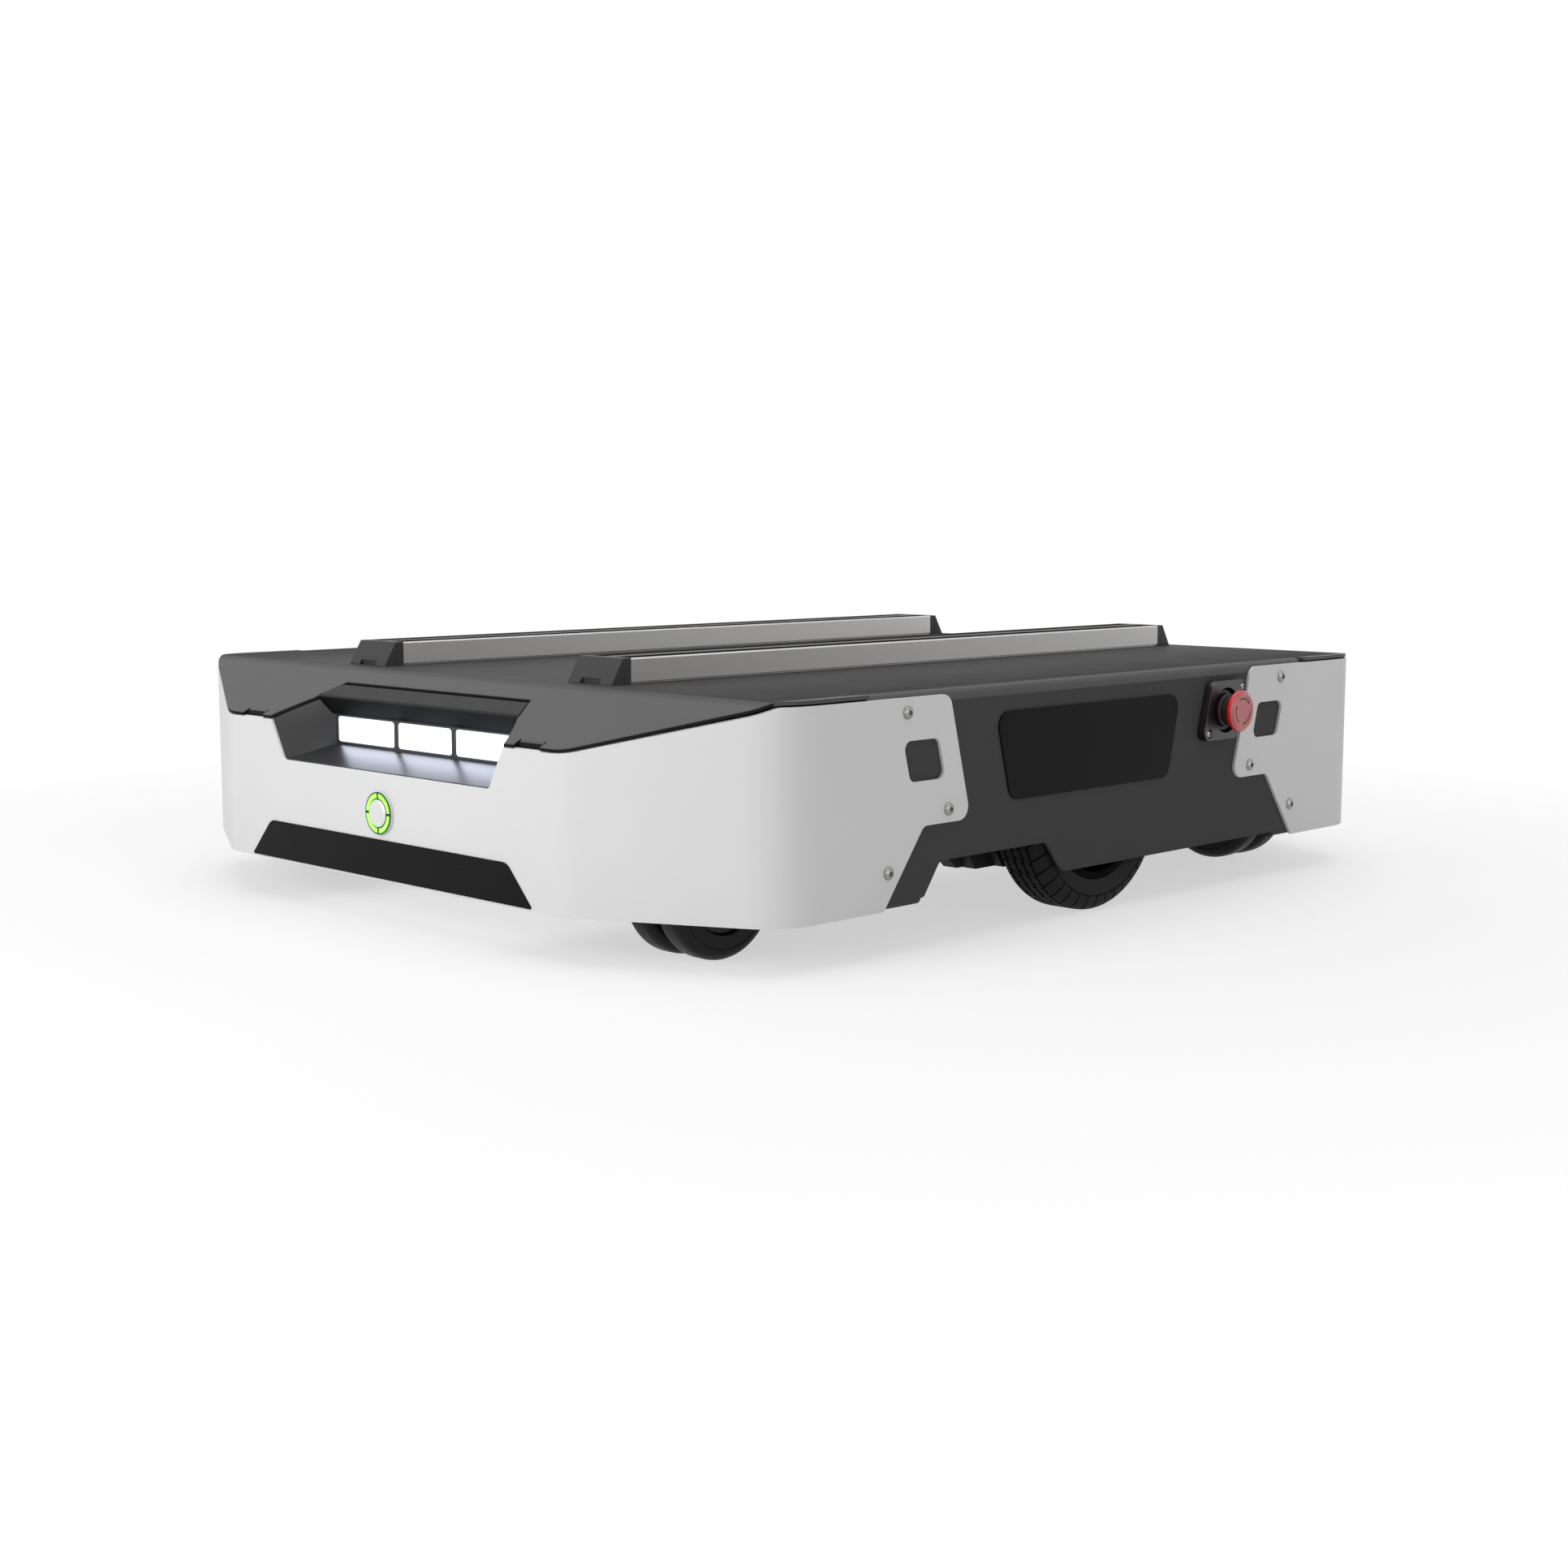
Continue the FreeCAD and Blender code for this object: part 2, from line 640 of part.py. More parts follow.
def make_tab():
    """Short tab folded down from the sloped deck edge behind the shell."""
    outer = HALF_LENGTH - SHELL_SHEET - DECK_GAP
    inner = outer - DECK_SHEET
    root = outer - 12
    drop = DECK_SHEET * math.hypot(1, DECK_SLOPE)
    section = [
        (root, deck_height(root), 0),
        (outer, deck_height(outer), 5.0),
        (outer, TAB_BOTTOM, 0),
        (inner, TAB_BOTTOM, 0),
        (inner, deck_height(inner) - drop, 3.0),
        (root, deck_height(root) - drop, 0),
    ]
    return prism(section, "y", TAB_Y - TAB_WIDTH / 2, TAB_Y + TAB_WIDTH / 2)


def make_deck():
    sheet = prism(deck_sheet_profile(HALF_LENGTH + 5), "y", -HALF_WIDTH, HALF_WIDTH)
    sheet = sheet.common(prism(outline(DECK_INSET, SHELL_BEND), "z", 0, FAR))
    skirt = make_skirt()
    root = SKIRT_FACE - 2 * SKIRT_BEND
    relief_half = SKIRT_HALF_LENGTH + TAB_RELIEF
    side_relief = box(-relief_half, relief_half, root, FAR, 0, FAR)
    tab_half = TAB_WIDTH / 2 + TAB_RELIEF
    tab_room = box(HALF_LENGTH - TAB_RELIEF_DEPTH, FAR, TAB_Y - tab_half, TAB_Y + tab_half, 0, FAR)
    light_room = recess_void().fuse(prism(hood_room_plan(), "z", 0, FAR))
    cuts = both_sides(side_relief) + all_corners([tab_room])
    cuts += [light_room, mirrored(light_room, FRONT_REAR)]
    for room in cuts:
        sheet = sheet.cut(room)
    return joined([sheet] + both_sides(skirt) + all_corners([make_tab()]))


def make_frame():
    """Welded frame: battery tray up to the deck, caster shelves, pivot lugs and spring seats."""
    under_deck = DECK_TOP - DECK_SHEET
    tray = box(
        -TRAY_HALF_LENGTH, TRAY_HALF_LENGTH, -TRAY_HALF_WIDTH, TRAY_HALF_WIDTH, TRAY_BOTTOM, under_deck
    )
    hollow = box(
        -TRAY_HALF_LENGTH + FRAME_SHEET,
        TRAY_HALF_LENGTH - FRAME_SHEET,
        -TRAY_HALF_WIDTH + FRAME_SHEET,
        TRAY_HALF_WIDTH - FRAME_SHEET,
        TRAY_BOTTOM + FRAME_SHEET,
        FAR,
    )
    flange_half = TRAY_HALF_WIDTH + TRAY_FLANGE
    flange = box(
        -TRAY_HALF_LENGTH, TRAY_HALF_LENGTH, -flange_half, flange_half, under_deck - FRAME_SHEET, under_deck
    )
    shelf_top = SHELF_BOTTOM + FRAME_SHEET
    plan = prism(outline(SHELF_INSET, SHELL_BEND - SHELF_INSET), "z", SHELF_BOTTOM, shelf_top)
    room = [
        box(SHELF_WIDE_X, SHELF_END_X, -FAR, FAR, 0, FAR),
        box(FRONT_SHELF_START, SHELF_WIDE_X, -FRONT_SHELF_HALF, FRONT_SHELF_HALF, 0, FAR),
        box(-SHELF_END_X, -SHELF_WIDE_X, -FAR, FAR, 0, FAR),
        box(-SHELF_WIDE_X, REAR_SHELF_START, -REAR_SHELF_HALF, REAR_SHELF_HALF, 0, FAR),
    ]
    shelves = [plan.common(piece) for piece in room]
    lug_outline = [
        (PIVOT_X - PIVOT_BOSS, SHELF_BOTTOM, 0),
        (PIVOT_X - PIVOT_BOSS, PIVOT_Z - PIVOT_BOSS, PIVOT_BOSS - 1),
        (PIVOT_X + PIVOT_BOSS, PIVOT_Z - PIVOT_BOSS, PIVOT_BOSS - 1),
        (PIVOT_X + PIVOT_BOSS, SHELF_BOTTOM, 0),
    ]
    inner_lug = ARM_INNER_Y - LUG_GAP
    outer_lug = ARM_INNER_Y + ARM_SHEET + LUG_GAP
    lugs = [
        prism(lug_outline, "y", inner_lug - LUG_SHEET, inner_lug),
        prism(lug_outline, "y", outer_lug, outer_lug + LUG_SHEET),
    ]
    seat_root = Vector(SPRING_X, SPRING_Y, SHELF_BOTTOM)
    seat = rod(SPRING_SEAT_RADIUS, seat_root, Vector(0, 0, -SPRING_SEAT_HEIGHT))
    fittings = []
    for piece in lugs + [seat]:
        fittings += both_sides(piece)
    frame = joined([tray, flange] + shelves + fittings).cut(hollow)
    pin_hole = rod(PIVOT_RADIUS + PRESS_GAP, Vector(PIVOT_X, -FAR, PIVOT_Z), Vector(0, 2 * FAR, 0))
    return frame.cut(pin_hole)


def make_belly_pan():
    """Thin cover under the tray, wider in front than between the rear casters."""
    corners = [
        (PAN_HALF_LENGTH, -PAN_FRONT_HALF_WIDTH, 8.0),
        (PAN_HALF_LENGTH, PAN_FRONT_HALF_WIDTH, 8.0),
        (TRAY_HALF_LENGTH, PAN_FRONT_HALF_WIDTH, 8.0),
        (TRAY_HALF_LENGTH - 20, PAN_REAR_HALF_WIDTH, 8.0),
        (-PAN_HALF_LENGTH, PAN_REAR_HALF_WIDTH, 8.0),
        (-PAN_HALF_LENGTH, -PAN_REAR_HALF_WIDTH, 8.0),
        (TRAY_HALF_LENGTH - 20, -PAN_REAR_HALF_WIDTH, 8.0),
        (TRAY_HALF_LENGTH, -PAN_FRONT_HALF_WIDTH, 8.0),
    ]
    return prism(corners, "z", TRAY_BOTTOM - PAN_SHEET, TRAY_BOTTOM)


def make_pivot_pin():
    start = ARM_INNER_Y - LUG_GAP - LUG_SHEET - 2
    length = ARM_SHEET + 2 * LUG_GAP + 2 * LUG_SHEET + 2
    pin = rod(PIVOT_RADIUS, Vector(PIVOT_X, start, PIVOT_Z), Vector(0, length, 0))
    head = rod(PIVOT_RADIUS + 2, Vector(PIVOT_X, start + length, PIVOT_Z), Vector(0, 2, 0))
    return joined([pin, head])


def make_arm_toe():
    """Stepped foot of the arm, outside its plate; the steps lean forward as they rise."""
    face = ARM_INNER_Y + ARM_SHEET
    lean = TOE_LEAN * (TOE_TOP - TOE_BOTTOM)
    steps = []
    for front, reach in TOE_STEPS:
        side_view = [
            (TOE_BACK, TOE_BOTTOM, 3.0),
            (front, TOE_BOTTOM, 1.0),
            (front + lean, TOE_TOP, 3.0),
            (TOE_BACK, TOE_TOP, 3.0),
        ]
        steps.append(prism(side_view, "y", face, face + reach))
    return joined(steps)


def make_swing_arm():
    profile = [
        (PIVOT_X + PIVOT_BOSS, PIVOT_Z - PIVOT_BOSS, PIVOT_BOSS - 1),
        (PIVOT_X + PIVOT_BOSS, PIVOT_Z + PIVOT_BOSS, PIVOT_BOSS - 1),
        (46.0, 106.0, 8.0),
        (-40.0, 106.0, 8.0),
        (SPRING_X - PAD_HALF, PAD_TOP + 4, 4.0),
        (SPRING_X - PAD_HALF, PAD_TOP - PAD_SHEET, 4.0),
        (-46.0, PAD_TOP - PAD_SHEET, 6.0),
        (-46.0, 24.0, 5.0),
        (18.0, 24.0, 5.0),
        (38.0, 29.0, 5.0),
        (75.5, 29.5, 2.0),
    ]
    plate = prism(profile, "y", ARM_INNER_Y, ARM_INNER_Y + ARM_SHEET)
    pad = box(
        SPRING_X - PAD_HALF,
        SPRING_X + PAD_HALF,
        SPRING_Y - PAD_HALF,
        ARM_INNER_Y,
        PAD_TOP - PAD_SHEET,
        PAD_TOP,
    )
    seat = rod(SPRING_SEAT_RADIUS, Vector(SPRING_X, SPRING_Y, PAD_TOP), Vector(0, 0, SPRING_SEAT_HEIGHT))
    arm = joined([plate, pad, seat, make_arm_toe()])
    arm = arm.cut(rod(PIVOT_RADIUS + RUNNING_GAP, Vector(PIVOT_X, 0, PIVOT_Z), Vector(0, FAR, 0)))
    return arm.cut(rod(SHAFT_RADIUS + RUNNING_GAP, Vector(0, 0, WHEEL_RADIUS), Vector(0, FAR, 0)))


def square_block(size, corner, low, high):
    half = size / 2
    return prism(
        rectangle(-half, half, WHEEL_RADIUS - half, WHEEL_RADIUS + half, corner), "y", low, high
    )


def make_gearbox():
    flange_back = ARM_INNER_Y - FLANGE_SHEET
    flange = square_block(FLANGE_SIZE, 8.0, flange_back, ARM_INNER_Y)
    body = square_block(GEARBOX_SIZE, 12.0, flange_back - GEARBOX_LENGTH, flange_back)
    bore_start = Vector(0, shaft_start() - 1, WHEEL_RADIUS)
    return joined([flange, body]).cut(rod(SHAFT_RADIUS + RUNNING_GAP, bore_start, Vector(0, FAR, 0)))


def shaft_start():
    return ARM_INNER_Y - FLANGE_SHEET - GEARBOX_LENGTH / 2


def make_motor():
    end = ARM_INNER_Y - FLANGE_SHEET - GEARBOX_LENGTH
    start = end - MOTOR_LENGTH
    corners = [
        (start, 0, 0),
        (start, MOTOR_RADIUS - 5, 2.0),
        (start + 8, MOTOR_RADIUS - 5, 0),
        (start + 8, MOTOR_RADIUS, 1.0),
        (end, MOTOR_RADIUS, 0),
        (end, 0, 0),
    ]
    return turned(corners, 0, WHEEL_RADIUS)


def make_spring():
    low = PAD_TOP + SPRING_WIRE + 0.3
    high = SHELF_BOTTOM - SPRING_WIRE - 0.3
    height = high - low
    path = Part.makeHelix(height / SPRING_TURNS, height, SPRING_MEAN_RADIUS)
    section = Part.Circle(Vector(SPRING_MEAN_RADIUS, 0, 0), Vector(0, 1, 0), SPRING_WIRE)
    coil = Part.Wire(path.Edges).makePipeShell([Part.Wire(section.toShape())], True, True)
    return coil.translated(Vector(SPRING_X, SPRING_Y, low))


def make_drive_tyre():
    inner = WHEEL_Y - WHEEL_WIDTH / 2
    outer = WHEEL_Y + WHEEL_WIDTH / 2
    corners = [
        (inner + 1.5, RIM_RADIUS + PRESS_GAP, 0),
        (inner, RIM_RADIUS + 5, 3.0),
        (inner, WHEEL_RADIUS, TYRE_SHOULDER),
        (outer, WHEEL_RADIUS, TYRE_SHOULDER),
        (outer, RIM_RADIUS + 5, 3.0),
        (outer - 1.5, RIM_RADIUS + PRESS_GAP, 0),
    ]
    tyre = turned(corners, 0, WHEEL_RADIUS)
    for step in (-1.5, -0.5, 0.5, 1.5):
        y = WHEEL_Y + step * TREAD_GROOVE_SPACING
        groove = rectangle(
            y - TREAD_GROOVE / 2,
            y + TREAD_GROOVE / 2,
            WHEEL_RADIUS - TREAD_GROOVE_DEPTH,
            WHEEL_RADIUS + 1,
        )
        tyre = tyre.cut(turned(groove, 0, WHEEL_RADIUS))
    return tyre


def make_drive_rim():
    inner = WHEEL_Y - WHEEL_WIDTH / 2 + 1.5
    outer = WHEEL_Y + WHEEL_WIDTH / 2 - 1.5
    barrel = turned(rectangle(inner, outer, RIM_RADIUS - RIM_WALL, RIM_RADIUS), 0, WHEEL_RADIUS)
    web = turned(rectangle(WHEEL_Y - 5, WHEEL_Y + 2, HUB_RADIUS - 4, RIM_RADIUS - 2), 0, WHEEL_RADIUS)
    hub = turned(
        rectangle(inner, WHEEL_Y + HUB_PROUD, SHAFT_RADIUS + PRESS_GAP, HUB_RADIUS), 0, WHEEL_RADIUS
    )
    rim = joined([barrel, web, hub])
    for step in range(SPOKE_HOLES):
        angle = 2 * math.pi * step / SPOKE_HOLES
        x = SPOKE_HOLE_CIRCLE * math.sin(angle)
        z = WHEEL_RADIUS + SPOKE_HOLE_CIRCLE * math.cos(angle)
        rim = rim.cut(rod(SPOKE_HOLE_RADIUS, Vector(x, 0, z), Vector(0, FAR, 0)))
    return rim


def make_drive_shaft():
    start = shaft_start()
    nut_back = WHEEL_Y + HUB_PROUD
    end = nut_back + NUT_HEIGHT + 2
    shaft = rod(SHAFT_RADIUS, Vector(0, start, WHEEL_RADIUS), Vector(0, end - start, 0))
    nut = prism(hexagon(0, WHEEL_RADIUS, NUT_ACROSS), "y", nut_back, nut_back + NUT_HEIGHT)
    return joined([shaft, nut])


def side_screw(screw, x, z, seat):
    """Button-head screw with a hex socket, its head seated at y = seat."""
    tip = seat - screw["length"]
    top = seat + screw["height"]
    corners = [
        (tip, 0, 0),
        (tip, screw["radius"], 0),
        (seat, screw["radius"], 0),
        (seat, screw["head"], 0),
        (top, screw["head"], screw["round"]),
        (top, 0, 0),
    ]
    socket = prism(hexagon(x, z, screw["key"]), "y", top - screw["deep"], top + 1)
    return turned(corners, x, z).cut(socket)


def make_stop_plate():
    plate = prism(
        with_radius(STOP_PLATE, STOP_PLATE_CORNER), "y", SKIRT_FACE, SKIRT_FACE + STOP_PLATE_HEIGHT
    )
    plate = plate.cut(rod(STOP_HOLE_RADIUS, Vector(STOP_X, 0, STOP_Z), Vector(0, FAR, 0)))
    sink_floor = SKIRT_FACE + STOP_PLATE_HEIGHT - STOP_SINK
    for x, z in STOP_SCREWS:
        plate = plate.cut(screw_hole(PLATE_SCREW, x, z))
        plate = plate.cut(rod(STOP_SINK_RADIUS, Vector(x, sink_floor, z), Vector(0, FAR, 0)))
    return plate


def make_stop_body():
    """Collar on the skirt, hollow barrel through it for the head's neck, contact block behind."""
    block_front = SKIRT_FACE - STOP_BARREL_LENGTH
    block_half = STOP_BLOCK / 2
    corners = [
        (block_front, 0, 0),
        (block_front, STOP_BARREL, 0),
        (SKIRT_FACE, STOP_BARREL, 0),
        (SKIRT_FACE, STOP_COLLAR, 0),
        (SKIRT_FACE + STOP_COLLAR_HEIGHT, STOP_COLLAR, 0.8),
        (SKIRT_FACE + STOP_COLLAR_HEIGHT, STOP_POCKET, 0),
        (STOP_POCKET_FLOOR, STOP_POCKET, 0),
        (STOP_POCKET_FLOOR, 0, 0),
    ]
    block = box(
        STOP_X - block_half,
        STOP_X + block_half,
        block_front - STOP_BLOCK_LENGTH,
        block_front,
        STOP_Z - block_half,
        STOP_Z + block_half,
    )
    body = joined([turned(corners, STOP_X, STOP_Z), block])
    bore_start = Vector(STOP_X, block_front - STOP_TRAVEL - 1, STOP_Z)
    return body.cut(rod(STOP_STEM + RUNNING_GAP, bore_start, Vector(0, FAR, 0)))


def make_stop_stem():
    start = SKIRT_FACE - STOP_BARREL_LENGTH
    end = STOP_HEAD_FACE - STOP_FACE_WALL - 0.5
    return rod(STOP_STEM, Vector(STOP_X, start, STOP_Z), Vector(0, end - start, 0))


def make_stop_head():
    """Red mushroom head with its neck and a groove behind the rim, turning on the stem."""
    bore = STOP_STEM + RUNNING_GAP
    inside = STOP_HEAD_FACE - STOP_FACE_WALL
    corners = [
        (STOP_NECK_BACK, bore, 0),
        (STOP_NECK_BACK, STOP_NECK, 0.6),
        (STOP_GROOVE_START, STOP_NECK, 0.4),
        (STOP_GROOVE_START + 0.6, STOP_GROOVE, 0),
        (STOP_GROOVE_END, STOP_GROOVE, 0),
        (STOP_GROOVE_END + 1.6, STOP_NECK + 0.8, 1.0),
        (STOP_RIM_BACK, STOP_RIM, 1.2),
        (STOP_RIM_FRONT, STOP_RIM, 1.2),
        (STOP_HEAD_FACE, STOP_FACE_RADIUS, 1.0),
        (STOP_HEAD_FACE, 0, 0),
        (inside, 0, 0),
        (inside, bore, 0),
    ]
    return turned(corners, STOP_X, STOP_Z)


def make_rail():
    bottom = DECK_TOP
    top = DECK_TOP + RAIL_HEIGHT
    half = RAIL_WIDTH / 2
    section = [
        (RAIL_Y - half + RAIL_FOOT, bottom, 0),
        (RAIL_Y - half + RAIL_FOOT, bottom + RAIL_FOOT, 0),
        (RAIL_Y - half, bottom + RAIL_FOOT, 0),
        (RAIL_Y - half, top - RAIL_CHAMFER, 0),
        (RAIL_Y - half + RAIL_CHAMFER, top, 0),
        (RAIL_Y + half - RAIL_CHAMFER, top, 0),
        (RAIL_Y + half, top - RAIL_CHAMFER, 0),
        (RAIL_Y + half, bottom + RAIL_FOOT, 0),
        (RAIL_Y + half - RAIL_FOOT, bottom + RAIL_FOOT, 0),
        (RAIL_Y + half - RAIL_FOOT, bottom, 0),
    ]
    rail = prism(section, "x", -RAIL_HALF_LENGTH, RAIL_HALF_LENGTH)
    for side in (-1, 1):
        y = RAIL_Y + side * SLOT_SPACING / 2
        slot = [
            (y - SLOT_MOUTH / 2, top + 1, 0),
            (y - SLOT_MOUTH / 2, top - SLOT_LIP, 0),
            (y - SLOT_INNER / 2, top - SLOT_LIP, 0),
            (y - SLOT_INNER / 2, top - SLOT_DEPTH + 2, 0),
            (y - SLOT_MOUTH / 2, top - SLOT_DEPTH, 0),
            (y + SLOT_MOUTH / 2, top - SLOT_DEPTH, 0),
            (y + SLOT_INNER / 2, top - SLOT_DEPTH + 2, 0),
            (y + SLOT_INNER / 2, top - SLOT_LIP, 0),
            (y + SLOT_MOUTH / 2, top - SLOT_LIP, 0),
            (y + SLOT_MOUTH / 2, top + 1, 0),
        ]
        rail = rail.cut(prism(slot, "x", -FAR, FAR))
    return rail


def make_rail_cap():
    """Wedge cap on the front end of the left rail, with a shallow notch at its foot."""
    top = DECK_TOP + RAIL_HEIGHT
    side_view = [
        (RAIL_HALF_LENGTH, DECK_TOP, 0),
        (CAP_BASE_X, DECK_TOP, 0),
        (CAP_BASE_X, DECK_TOP + 0.6, 0),
        (CAP_TOP_X, top, 0.5),
        (RAIL_HALF_LENGTH, top, 0),
    ]
    half = RAIL_WIDTH / 2
    cap = prism(side_view, "y", RAIL_Y - half, RAIL_Y + half)
    seam = box(CAP_FLANGE_X - CAP_SEAM, CAP_FLANGE_X, 0, FAR, DECK_TOP, FAR)
    core = half - CAP_SEAM_DEPTH
    seam = seam.cut(box(0, FAR, RAIL_Y - core, RAIL_Y + core, 0, top - CAP_SEAM_DEPTH))
    notch = box(
        CAP_NOTCH_X,
        CAP_BASE_X + 1,
        RAIL_Y - CAP_NOTCH_WIDTH / 2,
        RAIL_Y + CAP_NOTCH_WIDTH / 2,
        DECK_TOP,
        DECK_TOP + CAP_NOTCH_HEIGHT,
    )
    return cap.cut(seam).cut(notch)


def make_front_badge():
    corners = [
        (-FRONT_BADGE_BOTTOM_HALF, FRONT_BADGE_BOTTOM, 1.0),
        (FRONT_BADGE_BOTTOM_HALF, FRONT_BADGE_BOTTOM, 1.0),
        (FRONT_BADGE_TOP_HALF, FRONT_BADGE_TOP, 9.0),
        (-FRONT_BADGE_TOP_HALF, FRONT_BADGE_TOP, 9.0),
    ]
    return prism(corners, "x", HALF_LENGTH, HALF_LENGTH + BADGE_SHEET)


def make_side_badge():
    corners = with_radius(SIDE_BADGE, SIDE_BADGE_CORNER)
    return prism(corners, "y", SKIRT_FACE, SKIRT_FACE + SIDE_BADGE_SHEET)


def face_rod(radius, low, high):
    return rod(radius, Vector(low, 0, BUTTON_Z), Vector(high - low, 0, 0))


def make_button_ring():
    """Four light segments in the bezel, between two crossing ribs."""
    front = HALF_LENGTH + BEZEL_HEIGHT
    ring = face_rod(RING_OUTER, front - RING_DEPTH, front).cut(face_rod(RING_INNER, 0, FAR))
    half = RING_RIB / 2
    across = Part.makeBox(FAR, RING_RIB, FAR, Vector(0, -half, BUTTON_Z - FAR / 2))
    centre = Vector(0, 0, BUTTON_Z)
    for angle in (0, 90):
        rib = across.copy()
        rib.rotate(centre, Vector(1, 0, 0), angle)
        ring = ring.cut(rib)
    return ring


def make_button_body():
    front = HALF_LENGTH + BEZEL_HEIGHT
    bezel = face_rod(BEZEL_RADIUS, HALF_LENGTH, front)
    barrel = face_rod(BUTTON_BARREL, HALF_LENGTH - BUTTON_BARREL_LENGTH, HALF_LENGTH)
    body = joined([bezel, barrel]).cut(make_button_ring())
    bore_back = HALF_LENGTH - CAP_DEPTH - CAP_TRAVEL - 1
    return body.cut(face_rod(CAP_RADIUS + RUNNING_GAP, bore_back, FAR))


def make_button_cap():
    front = HALF_LENGTH + CAP_PROUD
    cap = face_rod(CAP_RADIUS, HALF_LENGTH - CAP_DEPTH, front)
    return cap.makeChamfer(0.8, [edge for edge in cap.Edges if edge.CenterOfMass.x > front - 0.1])


def caster_place(shape, spot):
    x, y, turn = CASTERS[spot]
    moved = shape.copy()
    moved.rotate(Vector(0, 0, 0), Vector(0, 0, 1), turn)
    return moved.translated(Vector(x, y, 0))


def make_caster_mount():
    half = CASTER_PLATE / 2
    plate_bottom = SHELF_BOTTOM - CASTER_PLATE_SHEET
    plate = prism(rectangle(-half, half, -half, half, 6.0), "z", plate_bottom, SHELF_BOTTOM)
    cup_bottom = CROWN_TOP + SWIVEL_GAP
    cup = rod(CASTER_CUP, Vector(0, 0, cup_bottom), Vector(0, 0, plate_bottom - cup_bottom))
    bore = rod(CASTER_STEM + RUNNING_GAP, Vector(0, 0, 0), Vector(0, 0, plate_bottom))
    return joined([plate, cup]).cut(bore)


def make_caster_fork():
    """Stem, crown and the thin web between the two wheels, with the axle fixed in it."""
    crown = rod(CASTER_CUP, Vector(0, 0, CROWN_BOTTOM), Vector(0, 0, CROWN_TOP - CROWN_BOTTOM))
    stem_top = SHELF_BOTTOM - CASTER_PLATE_SHEET - SWIVEL_GAP
    stem = rod(CASTER_STEM, Vector(0, 0, CROWN_TOP), Vector(0, 0, stem_top - CROWN_TOP))
    boss = 10.0
    web_view = [
        (-CASTER_CUP + 2, CROWN_BOTTOM, 0),
        (-CASTER_CUP + 2, CROWN_BOTTOM - 6, 4.0),
        (CASTER_TRAIL - boss, CASTER_RADIUS - boss, boss - 1),
        (CASTER_TRAIL + boss, CASTER_RADIUS - boss, boss - 1),
        (CASTER_TRAIL + boss, CROWN_BOTTOM - 8, 6.0),
        (CASTER_CUP - 1, CROWN_BOTTOM, 0),
    ]
    web = prism(web_view, "y", -CASTER_WEB / 2, CASTER_WEB / 2)
    recess_floor = CASTER_SPACING / 2 + CASTER_WIDTH / 2 - CASTER_RECESS
    head_start = recess_floor + 0.4
    axle_start = Vector(CASTER_TRAIL, -head_start, CASTER_RADIUS)
    axle = rod(CASTER_AXLE, axle_start, Vector(0, 2 * head_start, 0))
    heads = []
    for side in (-1, 1):
        head_place = Vector(CASTER_TRAIL, side * head_start, CASTER_RADIUS)
        heads.append(rod(CASTER_HEAD, head_place, Vector(0, side * 1.8, 0)))
    return joined([crown, stem, web, axle] + heads)


def make_caster_wheel():
    """Wheel on the +Y side of the web, with a hub disc in the recess of its outer face."""
    inner = (CASTER_SPACING - CASTER_WIDTH) / 2
    outer = (CASTER_SPACING + CASTER_WIDTH) / 2
    floor = outer - CASTER_RECESS
    bore = CASTER_AXLE + RUNNING_GAP
    corners = [
        (inner, bore, 0),
        (inner, CASTER_RADIUS, CASTER_CORNER),
        (outer, CASTER_RADIUS, CASTER_CORNER),
        (outer, CASTER_RECESS_RADIUS, 1.0),
        (floor, CASTER_RECESS_RADIUS - 2, 0.5),
        (floor, CASTER_DISC_RADIUS, 0),
        (floor + CASTER_DISC_RISE, CASTER_DISC_RADIUS, 0),
        (floor + CASTER_DISC_RISE, CASTER_DISC_HOLE, 0),
        (floor, CASTER_DISC_HOLE, 0),
        (floor, bore, 0),
    ]
    return turned(corners, CASTER_TRAIL, CASTER_RADIUS)


def make_battery():
    bottom = TRAY_BOTTOM + FRAME_SHEET
    half = TRAY_HALF_WIDTH - FRAME_SHEET - BATTERY_SIDE_GAP
    back = -TRAY_HALF_LENGTH + FRAME_SHEET + BATTERY_END_GAP
    case = prism(rectangle(back, BATTERY_FRONT, -half, half, 8.0), "z", bottom, bottom + BATTERY_HEIGHT)
    middle = bottom + BATTERY_HEIGHT * 0.8
    seam = box(-FAR, FAR, -FAR, FAR, middle, middle + 1.5)
    core = prism(
        rectangle(back + 1, BATTERY_FRONT - 1, -half + 1, half - 1, 7.0), "z", bottom, bottom + BATTERY_HEIGHT
    )
    return case.cut(seam.cut(core))


def make_motor_driver():
    bottom = SHELF_BOTTOM + FRAME_SHEET
    body_top = bottom + DRIVER_HEIGHT - FIN_HEIGHT
    pieces = [box(UNIT_BACK_X, UNIT_FRONT_X, -UNIT_OUTER_Y, -UNIT_INNER_Y, bottom, body_top)]
    pitch = (UNIT_OUTER_Y - UNIT_INNER_Y) / FIN_COUNT
    for step in range(FIN_COUNT):
        y = -UNIT_OUTER_Y + step * pitch
        pieces.append(box(UNIT_BACK_X, UNIT_FRONT_X, y, y + pitch / 2, body_top, body_top + FIN_HEIGHT))
    return joined(pieces)


